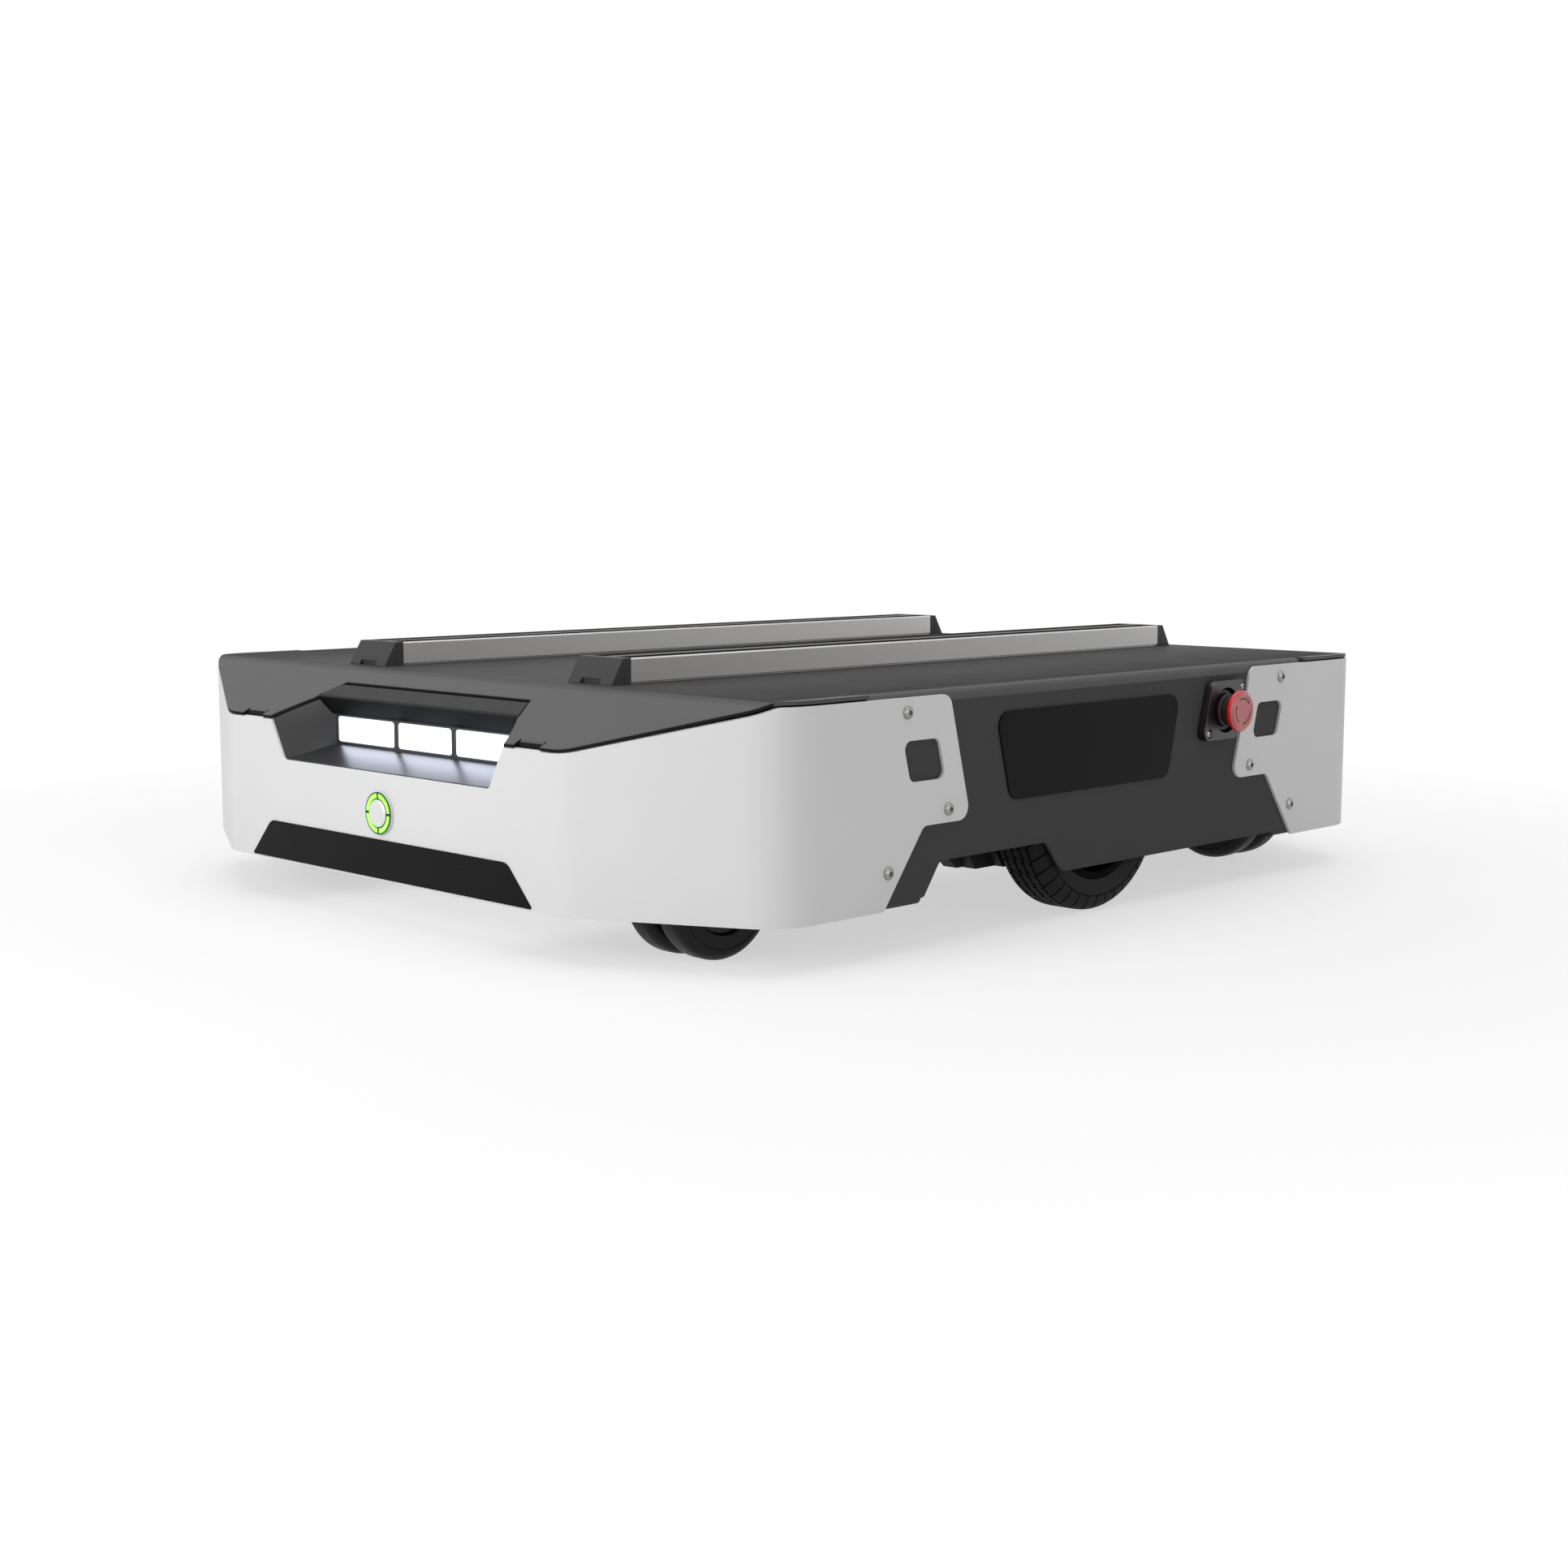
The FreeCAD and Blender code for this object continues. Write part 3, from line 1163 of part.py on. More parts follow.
def make_control_board():
    bottom = SHELF_BOTTOM + FRAME_SHEET
    board_bottom = bottom + STANDOFF_HEIGHT
    board_top = board_bottom + BOARD_SHEET
    pieces = [box(UNIT_BACK_X, UNIT_FRONT_X, UNIT_INNER_Y, UNIT_OUTER_Y, board_bottom, board_top)]
    for x in (UNIT_BACK_X + 6, UNIT_FRONT_X - 6):
        for y in (UNIT_INNER_Y + 6, UNIT_OUTER_Y - 6):
            pieces.append(rod(STANDOFF_RADIUS, Vector(x, y, bottom), Vector(0, 0, STANDOFF_HEIGHT)))
    middle_x = (UNIT_BACK_X + UNIT_FRONT_X) / 2
    middle_y = (UNIT_INNER_Y + UNIT_OUTER_Y) / 2
    pieces.append(box(middle_x - 12, middle_x + 12, middle_y - 12, middle_y + 12, board_top, board_top + 3))
    plug_back = UNIT_BACK_X + 4
    pieces.append(box(plug_back, plug_back + 12, middle_y - 30, middle_y + 30, board_top, board_top + 10))
    return joined(pieces)


def make_socket(y, bore):
    """Round panel socket on the rear face, with its bore open to the rear."""
    half = SOCKET_FLANGE / 2
    face = -HALF_LENGTH
    plate = rectangle(y - half, y + half, SOCKET_Z - half, SOCKET_Z + half, 3.0)
    flange = prism(plate, "x", face - SOCKET_FLANGE_SHEET, face)
    barrel = rod(SOCKET_BARREL, Vector(face, y, SOCKET_Z), Vector(SOCKET_BARREL_LENGTH, 0, 0))
    mouth = Vector(face - SOCKET_FLANGE_SHEET, y, SOCKET_Z)
    return joined([flange, barrel]).cut(rod(bore, mouth, Vector(SOCKET_BORE_DEPTH, 0, 0)))


def save_lights():
    units = {
        "housing": [make_light_housing()],
        "hood": [make_light_hood()],
        "lenses": make_light_lenses(),
    }
    for name, shapes in units.items():
        save("headlight_" + name, shapes)
        save("tail_light_" + name, [mirrored(shape, FRONT_REAR) for shape in shapes])
    board = make_light_board()
    save("light_boards", [board, mirrored(board, FRONT_REAR)])


def save_shells():
    shell = make_shell()
    save("front_shell", [shell.cut(face_hole(BUTTON_BARREL + PANEL_HOLE_GAP, 0, BUTTON_Z))])
    rear = shell
    for y, bore in SOCKETS.values():
        rear = rear.cut(face_hole(SOCKET_BARREL + PANEL_HOLE_GAP, y, SOCKET_Z))
    save("rear_shell", [mirrored(rear, FRONT_REAR)])


def save_screws():
    """All button-head screws of the sides: through the wings and through the stop plates."""
    screws = all_corners([side_screw(WING_SCREW, x, z, HALF_WIDTH) for x, z in WING_SCREWS])
    sink_floor = SKIRT_FACE + STOP_PLATE_HEIGHT - STOP_SINK
    for x, z in STOP_SCREWS:
        screws += both_sides(side_screw(PLATE_SCREW, x, z, sink_floor))
    save("button_head_screws", screws)


def save_stops():
    save("estop_plates", both_sides(make_stop_plate()))
    save("estop_bodies", both_sides(make_stop_body()))
    save_pair("estop_stem", make_stop_stem())
    save_pair("estop_head", make_stop_head())


def save_casters():
    mount = make_caster_mount()
    save("caster_mounts", [caster_place(mount, spot) for spot in CASTERS])
    fork = make_caster_fork()
    wheel = make_caster_wheel()
    for spot in CASTERS:
        save(spot + "_caster_fork", [caster_place(fork, spot)])
        save(spot + "_caster_wheel_a", [caster_place(wheel, spot)])
        save(spot + "_caster_wheel_b", [caster_place(mirrored(wheel, LEFT_RIGHT), spot)])


os.makedirs("parts", exist_ok=True)
save("chassis_frame", [make_frame()])
save("belly_pan", [make_belly_pan()])
save("deck_plate", [make_deck()])
save_shells()
save_screws()
save_lights()
save("front_badge_plate", [make_front_badge()])
save("side_badge_plates", both_sides(make_side_badge()))
save("power_button_body", [make_button_body()])
save("power_button_ring", make_button_ring().Solids)
save("power_button_cap", [make_button_cap()])
save_stops()
save_pair("rail", make_rail())
save("rail_end_caps", all_corners([make_rail_cap()]))
save("pivot_pins", both_sides(make_pivot_pin()))
save_pair("swing_arm", make_swing_arm())
save_pair("gearbox", make_gearbox())
save_pair("motor", make_motor())
save_pair("spring", make_spring())
save_pair("drive_tyre", make_drive_tyre())
save_pair("drive_rim", make_drive_rim())
save_pair("drive_shaft", make_drive_shaft())
save_casters()
save("battery_pack", [make_battery()])
save("motor_driver", [make_motor_driver()])
save("control_board", [make_control_board()])
for name, (y, bore) in SOCKETS.items():
    save(name, [make_socket(y, bore)])
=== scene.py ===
import json
import math

import bmesh
import bpy
from mathutils import Matrix, Vector

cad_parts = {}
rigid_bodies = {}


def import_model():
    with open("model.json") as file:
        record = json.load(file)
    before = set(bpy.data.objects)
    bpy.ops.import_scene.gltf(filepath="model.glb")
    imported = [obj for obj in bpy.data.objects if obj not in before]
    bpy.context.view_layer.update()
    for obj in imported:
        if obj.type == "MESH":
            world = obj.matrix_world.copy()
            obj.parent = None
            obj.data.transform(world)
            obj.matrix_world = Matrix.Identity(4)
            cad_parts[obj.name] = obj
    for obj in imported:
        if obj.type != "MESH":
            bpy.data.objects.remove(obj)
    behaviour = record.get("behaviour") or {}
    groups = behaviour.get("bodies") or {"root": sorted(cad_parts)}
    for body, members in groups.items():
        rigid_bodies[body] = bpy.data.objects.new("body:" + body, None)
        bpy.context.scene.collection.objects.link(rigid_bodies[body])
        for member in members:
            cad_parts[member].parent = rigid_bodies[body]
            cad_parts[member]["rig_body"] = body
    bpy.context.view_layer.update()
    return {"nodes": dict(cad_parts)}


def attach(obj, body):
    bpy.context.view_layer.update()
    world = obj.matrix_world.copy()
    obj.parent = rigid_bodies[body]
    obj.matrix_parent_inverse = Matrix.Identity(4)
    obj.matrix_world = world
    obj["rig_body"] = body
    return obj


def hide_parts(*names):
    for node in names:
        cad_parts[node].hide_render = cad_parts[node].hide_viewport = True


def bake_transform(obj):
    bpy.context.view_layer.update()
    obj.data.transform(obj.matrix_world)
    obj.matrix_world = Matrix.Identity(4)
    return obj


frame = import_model()

# Viewpoint: the photograph looks at the front left corner of the base, from a little above
# its deck, in a square frame without lens shift. Places are in metres, angles in degrees and
# the lens in millimetres.
VIEW_PLACE = (1.0925, 1.0855, 0.2484)
VIEW_TILT = -7.12
VIEW_HEADING = -135.11
VIEW_LENS = 49.42
VIEW_SENSOR = 36.0


def placed(name, data):
    """A new object in the scene."""
    made = bpy.data.objects.new(name, data)
    bpy.context.scene.collection.objects.link(made)
    return made


view_lens = bpy.data.cameras.new("photo_view")
view_lens.sensor_width = VIEW_SENSOR
view_lens.lens = VIEW_LENS
view = placed("photo_view", view_lens)
view.location = VIEW_PLACE
view.rotation_euler = (math.radians(90 + VIEW_TILT), 0, math.radians(VIEW_HEADING - 90))
bpy.context.scene.camera = view

# Frame and belly pan: 3 mm steel sheet, cut, folded and welded into a battery tray with two
# shelves and the pivot lugs, then painted satin black. The pan is a plain aluminium sheet
# fixed under it, and the pivot pins and caster plates are zinc-plated steel.
SHARP_CORNER = 32
FLAT_WEIGHT = 60
SAME_POINT = 2e-6
SAME_PLANE = 0.2


class Flow:
    """A value on its way through nodes. Arithmetic on it adds Math nodes."""

    def __init__(self, web, socket):
        self.web = web
        self.socket = socket

    def maths(self, operation, first, second=0.0):
        return self.web.node("ShaderNodeMath", {"operation": operation}, {0: first, 1: second})

    def __add__(self, other):
        return self.maths("ADD", self, other)

    def __radd__(self, other):
        return self.maths("ADD", other, self)

    def __sub__(self, other):
        return self.maths("SUBTRACT", self, other)

    def __rsub__(self, other):
        return self.maths("SUBTRACT", other, self)

    def __mul__(self, other):
        return self.maths("MULTIPLY", self, other)

    def __rmul__(self, other):
        return self.maths("MULTIPLY", other, self)

    def __truediv__(self, other):
        return self.maths("DIVIDE", self, other)

    def __pow__(self, other):
        return self.maths("POWER", self, other)

    def __gt__(self, other):
        return self.maths("GREATER_THAN", self, other)

    def __lt__(self, other):
        return self.maths("LESS_THAN", self, other)

    def __abs__(self):
        return self.maths("ABSOLUTE", self)

    def clipped(self):
        """The value kept between 0 and 1."""
        return self.maths("MINIMUM", self.maths("MAXIMUM", self, 0.0), 1.0)


class Web:
    """A node tree that is filled one call at a time."""

    def __init__(self, tree):
        self.tree = tree

    def node(self, kind, settings=None, sockets=None, output=0):
        """Adds a node, and gives what leaves it by one of its outputs."""
        made = self.tree.nodes.new(kind)
        for name, value in (settings or {}).items():
            setattr(made, name, value)
        for name, value in (sockets or {}).items():
            self.feed(made.inputs[name], value)
        return Flow(self, made.outputs[output])

    def feed(self, socket, value):
        """Links a flow to a socket, or sets a plain value on it."""
        if isinstance(value, Flow):
            self.tree.links.new(value.socket, socket)
        else:
            socket.default_value = value


class Finish(Web):
    """A material: constants go on the shader's own sockets, patterns are linked to them."""

    def __init__(self, name, constants):
        self.material = bpy.data.materials.new(name)
        self.material.use_nodes = True
        super().__init__(self.material.node_tree)
        self.shader = self.tree.nodes["Principled BSDF"]
        for socket, value in constants.items():
            self.shader.inputs[socket].default_value = value
        self.here = self.node("ShaderNodeTexCoord", output="Object")
        self.paint = None

    def along(self, axis):
        """Where a point of the piece lies along one axis."""
        return self.node("ShaderNodeSeparateXYZ", sockets={"Vector": self.here}, output=axis)

    def stretched(self, scale, turn=(0, 0, 0)):
        return self.node(
            "ShaderNodeMapping", sockets={"Vector": self.here, "Scale": scale, "Rotation": turn}
        )

    def noise(self, scale, detail=2.0, place=None):
        sockets = {"Vector": place or self.here, "Scale": scale, "Detail": detail}
        return self.node("ShaderNodeTexNoise", sockets=sockets, output="Fac")

    def mixed(self, share, low, high):
        return self.node(
            "ShaderNodeMix", {"data_type": "RGBA"}, {0: share, 6: low, 7: high}, output=2
        )

    def give(self, socket, value):
        self.feed(self.shader.inputs[socket], value)

    def shade(self, share, low, high):
        """Base colour that runs between two tones."""
        self.paint = self.mixed(share, tone(*low), tone(*high))
        self.give("Base Color", self.paint)

    def lay(self, mask, colour):
        """Another tone over the base colour, where the mask is 1."""
        self.paint = self.mixed(mask, self.paint, tone(*colour))
        self.give("Base Color", self.paint)

    def emboss(self, height, depth):
        bump = self.node("ShaderNodeBump", sockets={"Height": height, "Distance": depth})
        self.give("Normal", bump)


def tone(red, green, blue, factor=1.0):
    return (red * factor, green * factor, blue * factor, 1.0)


def powder_coat(name, colour, roughness, sheen, grain, depth):
    """Baked powder paint: orange-peel skin, faint clouding and a gloss that varies a little."""
    coat = Finish(name, {"Specular IOR Level": sheen})
    cloud = coat.noise(6.0, 3.0)
    coat.shade(cloud, (*colour, 0.95), (*colour, 1.05))
    coat.give("Roughness", roughness + 0.12 * (coat.noise(38.0, 3.0) - 0.5))
    coat.emboss(coat.noise(grain, 2.0), depth)
    return coat


def plated_metal(name, colour, roughness):
    """Plated or turned metal: bright, with fine rolling marks and a faint mottle."""
    metal = Finish(name, {"Metallic": 1.0})
    mottle = metal.noise(120.0, 4.0)
    metal.shade(mottle, (*colour, 0.85), (*colour, 1.08))
    marks = metal.noise(1.0, 3.0, metal.stretched((40.0, 40.0, 1500.0)))
    metal.give("Roughness", roughness + 0.2 * (marks - 0.5))
    metal.emboss(marks, 0.00001)
    return metal


SIDES = {"left": 1, "right": -1}


def seat(piece, body, *nodes):
    """Puts a finished piece on its body, in place of the CAD nodes that it stands for."""
    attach(piece, body)
    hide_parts(*nodes)
    return piece


def dress(mesh, finish):
    """Gives a mesh one finish all over."""
    mesh.materials.clear()
    mesh.materials.append(finish.material)


def shown(name, mesh, finish, crease=None):
    """A smooth object for a mesh, with its corners kept where they turn by more than the crease."""
    dress(mesh, finish)
    mesh.shade_smooth()
    if crease:
        mesh.set_sharp_from_angle(angle=math.radians(crease))
    return placed(name, mesh)


def ease_corners(piece, width, segments, guarded):
    """Breaks the sharp corners of a piece, and keeps its flats flat in the shading."""
    edge = piece.modifiers.new("broken_corners", "BEVEL")
    edge.width = width
    edge.segments = segments
    edge.limit_method = "ANGLE"
    edge.angle_limit = math.radians(SHARP_CORNER)
    edge.use_clamp_overlap = guarded
    edge.miter_outer = "MITER_SHARP"
    edge.face_strength_mode = "FSTR_ALL"
    flats = piece.modifiers.new("true_flats", "WEIGHTED_NORMAL")
    flats.mode = "FACE_AREA"
    flats.weight = FLAT_WEIGHT
    flats.keep_sharp = False
    flats.use_face_influence = True


def joined_up(node, name):
    """A copy of a CAD piece's mesh, with its loose triangles merged into whole faces."""
    shape = bmesh.new()
    shape.from_mesh(frame["nodes"][node].data)
    bmesh.ops.remove_doubles(shape, verts=shape.verts, dist=SAME_POINT)
    level = math.radians(SAME_PLANE)
    bmesh.ops.dissolve_limit(
        shape, angle_limit=level, verts=shape.verts, edges=shape.edges, delimit=set()
    )
    mesh = bpy.data.meshes.new(name)
    shape.to_mesh(mesh)
    shape.free()
    return mesh


def eased(node, finish, width=0.0002, segments=2, guarded=False):
    """A copy of a CAD piece with its corners broken, shown in its place."""
    piece = shown(node + "_eased", joined_up(node, node + "_eased"), finish)
    ease_corners(piece, width, segments, guarded)
    return seat(piece, frame["nodes"][node]["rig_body"], node)


frame_paint = powder_coat("frame_black_paint", (0.014, 0.014, 0.015), 0.5, 0.3, 800.0, 0.00003)
pan_sheet = Finish("pan_rolled_sheet", {"Metallic": 1.0})
rolling = pan_sheet.noise(1.0, 4.0, pan_sheet.stretched((4.0, 700.0, 700.0)))
pan_sheet.shade(rolling, (0.72, 0.72, 0.73), (0.84, 0.84, 0.85))
pan_sheet.give("Roughness", 0.34 + 0.2 * rolling)
pan_sheet.emboss(rolling, 0.00001)
zinc = plated_metal("zinc_plate", (0.5, 0.5, 0.51), 0.36)
eased("chassis_frame", frame_paint, 0.00025)
eased("belly_pan", pan_sheet, 0.0003)
eased("pivot_pins", zinc, 0.0003)
eased("caster_mounts", zinc, 0.0003)

# Inner units: a moulded battery case in the tray, the control board on standoffs, the motor
# driver under its finned heat sink, and the light boards with their small lamps.
battery_case = Finish("battery_moulding", {"Specular IOR Level": 0.4})
grain = battery_case.noise(900.0, 3.0)
battery_case.shade(grain, (0.02, 0.023, 0.03), (0.03, 0.034, 0.042))
battery_case.give("Roughness", 0.5 + 0.2 * grain)
battery_case.emboss(grain, 0.00006)
board_resin = Finish("board_green_resin", {"Specular IOR Level": 0.6})
tracks = board_resin.noise(1.0, 0.0, board_resin.stretched((90.0, 420.0, 90.0))) > 0.52
board_resin.shade(tracks, (0.006, 0.05, 0.022), (0.012, 0.09, 0.04))
board_resin.give("Roughness", 0.3 + 0.15 * board_resin.noise(200.0))
board_resin.emboss(tracks, 0.00003)
sink_metal = plated_metal("heat_sink_aluminium", (0.3, 0.3, 0.32), 0.4)
eased("battery_pack", battery_case, 0.001, guarded=True)
eased("motor_driver", sink_metal, 0.0003)
for node in ("control_board", "light_boards"):
    dress(frame["nodes"][node].data, board_resin)

# Drive units: a cast swing arm on each side carries the gearbox and its motor, and a coil
# spring over the arm's pad presses the wheel down. Castings and motors are painted black.
casting = Finish("drive_casting_paint", {"Specular IOR Level": 0.25})
skin = casting.noise(420.0, 4.0)
casting.shade(skin, (0.011, 0.011, 0.012), (0.02, 0.02, 0.021))
casting.give("Roughness", 0.42 + 0.25 * skin)
casting.emboss(skin, 0.00015)
oiled_spring = plated_metal("oiled_spring_steel", (0.2, 0.2, 0.21), 0.3)
for side in SIDES:
    eased(side + "_swing_arm", casting, 0.0008, 3, guarded=True)
    eased(side + "_gearbox", casting, 0.0004, 3)
    eased(side + "_motor", casting, 0.0005, guarded=True)
    coil_mesh = joined_up(side + "_spring", side + "_coil_spring")
    coil = shown(side + "_coil_spring", coil_mesh, oiled_spring, crease=40)
    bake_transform(coil)
    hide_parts(side + "_spring")

# Drive wheels: a black painted rim with five holes, held by a nut, and a solid rubber tyre.
# Its tread is moulded in five rows of blocks, and the shoulder cuts run down the sidewall.
AXLE_HEIGHT = 0.067
WHEEL_ACROSS = 0.261
TYRE_RADIUS = 0.067
TYRE_HALF = 0.018
SHOULDER_ROUND = 0.009
TREAD_DEPTH = 0.0024
WALL_CUT_DEPTH = 0.0009
RIM_SEAT = 0.04702
WALL_CUT_END = 0.0575
GROOVE_HALF = 0.0007
GROOVES = (-0.0093, -0.0031, 0.0031, 0.0093)
PITCHES = 40
CUT_HALF = 0.0004
DRAFT = 0.00025
BLOCK_ROOT = 1.15
BLOCK_ROWS = 4
SHOULDER_ROWS = 10
BLOCK_STEPS = 4
SWAY = 0.0024
SWAY_LENGTH = 0.0031
SHOULDER_LEAN = 0.0032
LEAN_LENGTH = 0.011
WALL_STEP = 0.0006
BEAD_CORNERS = ((0.0, 0.006), (0.0006, 0.0032), (0.0015, 0.0))
CARCASS_STEPS = 30
TYRE_STEPS = 120
POLE_MERGE = 1e-7
TREAD_FLAT = TYRE_HALF - SHOULDER_ROUND
SHOULDER_RUN = SHOULDER_ROUND * math.pi / 2


def tyre_skin(along):
    """Point and outward direction on the tyre's skin, `along` metres from its middle."""
    side = -1 if along < 0 else 1
    reach = abs(along)
    if reach <= TREAD_FLAT:
        return (side * reach, TYRE_RADIUS), (0.0, 1.0)
    if reach <= TREAD_FLAT + SHOULDER_RUN:
        angle = (reach - TREAD_FLAT) / SHOULDER_ROUND
        way = (side * math.sin(angle), math.cos(angle))
        across = side * TREAD_FLAT + SHOULDER_ROUND * way[0]
        return (across, TYRE_RADIUS - SHOULDER_ROUND + SHOULDER_ROUND * way[1]), way
    down = reach - TREAD_FLAT - SHOULDER_RUN
    return (side * TYRE_HALF, TYRE_RADIUS - SHOULDER_ROUND - down), (side, 0.0)


def cut_depth(along):
    """How deep the tread is cut: full depth on top, shallow on the sidewall."""
    share = min(1.0, max(0.0, (abs(along) - TREAD_FLAT) / SHOULDER_RUN))
    return TREAD_DEPTH + (WALL_CUT_DEPTH - TREAD_DEPTH) * share


def sweep(along):
    """How far round the tyre a cut leans at this place: an S over the middle, then back."""
    reach = abs(along)
    side = -1 if along < 0 else 1
    last_groove = GROOVES[-1]
    lean = SWAY * math.sin(min(reach, last_groove) / SWAY_LENGTH * math.pi)
    if reach > last_groove:
        share = min(1.0, (reach - last_groove) / LEAN_LENGTH)
        lean = lean - SHOULDER_LEAN * math.sin(share * math.pi / 2)
    return side * lean


def skin_point(along, round_by, sunk):
    """A point sunk below the tyre's skin, `round_by` metres round its tread."""
    (across, radius), way = tyre_skin(along)
    across = across - way[0] * sunk
    radius = radius - way[1] * sunk
    angle = round_by / TYRE_RADIUS
    return Vector((radius * math.sin(angle), across, radius * math.cos(angle)))


def tread_row(shape, start, end, rows, steps):
    """One block of the tread, from start to end across the tyre, one pitch long."""
    pitch = 2 * math.pi * TYRE_RADIUS / PITCHES
    loops = []
    for depth_share, inset in ((BLOCK_ROOT, 0.0), (0.0, DRAFT)):
        grid = []
        for row in range(rows + 1):
            along = start + inset + (end - start - 2 * inset) * row / rows
            low = sweep(along) + CUT_HALF + inset
            high = sweep(along) + pitch - CUT_HALF - inset
            line = []
            for step in range(steps + 1):
                round_by = low + (high - low) * step / steps
                spot = skin_point(along, round_by, cut_depth(along) * depth_share)
                line.append(shape.verts.new(spot))
            grid.append(line)
        loops.append(grid)
    bottom, top = loops
    for row in range(rows):
        for step in range(steps):
            for grid in loops:
                line = grid[row]
                beside = grid[row + 1]
                shape.faces.new((line[step], beside[step], beside[step + 1], line[step + 1]))
    for row in range(rows):
        for step in (0, steps):
            shape.faces.new((bottom[row][step], bottom[row + 1][step], top[row + 1][step], top[row][step]))
    for step in range(steps):
        for row in (0, rows):
            shape.faces.new((bottom[row][step], bottom[row][step + 1], top[row][step + 1], top[row][step]))


def outward(sign):
    """Turns a piece made for the left side round to the side of this sign."""
    return Matrix.Rotation(math.pi, 4, "Z") if sign < 0 else Matrix.Identity(4)


def mesh_of(shape, name):
    """The mesh of a finished shape, with its faces turned outward."""
    bmesh.ops.recalc_face_normals(shape, faces=shape.faces)
    mesh = bpy.data.meshes.new(name)
    shape.to_mesh(mesh)
    shape.free()
    return mesh


def turned(name, profile, steps):
    """Mesh of a closed profile of (across, radius) points, turned about the Y axis."""
    shape = bmesh.new()
    rings = []
    for across, radius in profile:
        ring = []
        for step in range(steps):
            angle = 2 * math.pi * step / steps
            ring.append(shape.verts.new((radius * math.sin(angle), across, radius * math.cos(angle))))
        rings.append(ring)
    for ring, other in zip(rings, rings[1:] + rings[:1]):
        for step in range(steps):
            beside = (step + 1) % steps
            shape.faces.new((ring[step], ring[beside], other[beside], other[step]))
    bmesh.ops.remove_doubles(shape, verts=shape.verts, dist=POLE_MERGE)
    return mesh_of(shape, name)


class Growth(Web):
    """A Geometry Nodes tree with named inputs for its sizes."""

    def __init__(self, name, inputs):
        super().__init__(bpy.data.node_groups.new(name, "GeometryNodeTree"))
        face = self.tree.interface
        face.new_socket("Geometry", in_out="OUTPUT", socket_type="NodeSocketGeometry")
        face.new_socket("Geometry", in_out="INPUT", socket_type="NodeSocketGeometry")
        for label, kind in inputs.items():
            face.new_socket(label, in_out="INPUT", socket_type="NodeSocket" + kind)
        self.entry = self.tree.nodes.new("NodeGroupInput")

    def entered(self, label):
        return Flow(self, self.entry.outputs[label])

    def close(self, geometry):
        """Ends the tree: its copies become one mesh with the material that was entered."""
        whole = self.node("GeometryNodeRealizeInstances", sockets={"Geometry": geometry})
        coloured = self.node(
            "GeometryNodeSetMaterial", sockets={"Geometry": whole, "Material": self.entered("Material")}
        )
        leave = self.tree.nodes.new("NodeGroupOutput")
        self.feed(leave.inputs["Geometry"], coloured)

    def grow(self, name, base, values):
        """Runs the tree on a mesh and gives the result as a plain mesh."""
        holder = placed(name + "_seed", base)
        modifier = holder.modifiers.new("growth", "NODES")
        modifier.node_group = self.tree
        for item in self.tree.interface.items_tree:
            if item.in_out == "INPUT" and item.name in values:
                modifier[item.identifier] = values[item.name]
        ready = holder.evaluated_get(bpy.context.evaluated_depsgraph_get())
        mesh = bpy.data.meshes.new_from_object(ready)
        bpy.data.objects.remove(holder)
        mesh.name = name
        return mesh


# A ring of copies of one object round the Y axis, joined to the mesh that carries them.
ring_of_copies = Growth(
    "ring_of_copies",
    {"Pattern": "Object", "Copies": "Int", "Place": "Vector", "Material": "Material"},
)
copies = ring_of_copies.entered("Copies")
pattern = ring_of_copies.node(
    "GeometryNodeObjectInfo", sockets={"Object": ring_of_copies.entered("Pattern")}, output="Geometry"
)
spots = ring_of_copies.node("GeometryNodePoints", sockets={"Count": copies})
index = ring_of_copies.node("GeometryNodeInputIndex")
turn = ring_of_copies.node("ShaderNodeCombineXYZ", sockets={"Y": index * (2 * math.pi) / copies})
ring = ring_of_copies.node(
    "GeometryNodeInstanceOnPoints", sockets={"Points": spots, "Instance": pattern, "Rotation": turn}
)
join = ring_of_copies.tree.nodes.new("GeometryNodeJoinGeometry")
ring_of_copies.feed(join.inputs[0], ring)
ring_of_copies.feed(join.inputs[0], ring_of_copies.entered("Geometry"))
joined = Flow(ring_of_copies, join.outputs[0])
moved_to = ring_of_copies.entered("Place")
ring_of_copies.close(
    ring_of_copies.node("GeometryNodeTransform", sockets={"Geometry": joined, "Translation": moved_to})
)

rubber = Finish("tyre_rubber", {"Specular IOR Level": 0.2})
bloom = rubber.noise(26.0, 4.0)
rubber.shade(bloom, (0.005, 0.005, 0.0052), (0.01, 0.01, 0.01))
pores = rubber.noise(1500.0, 3.0)
rubber.give("Roughness", 0.55 + 0.2 * bloom + 0.1 * pores)
rubber.emboss(pores, 0.00005)

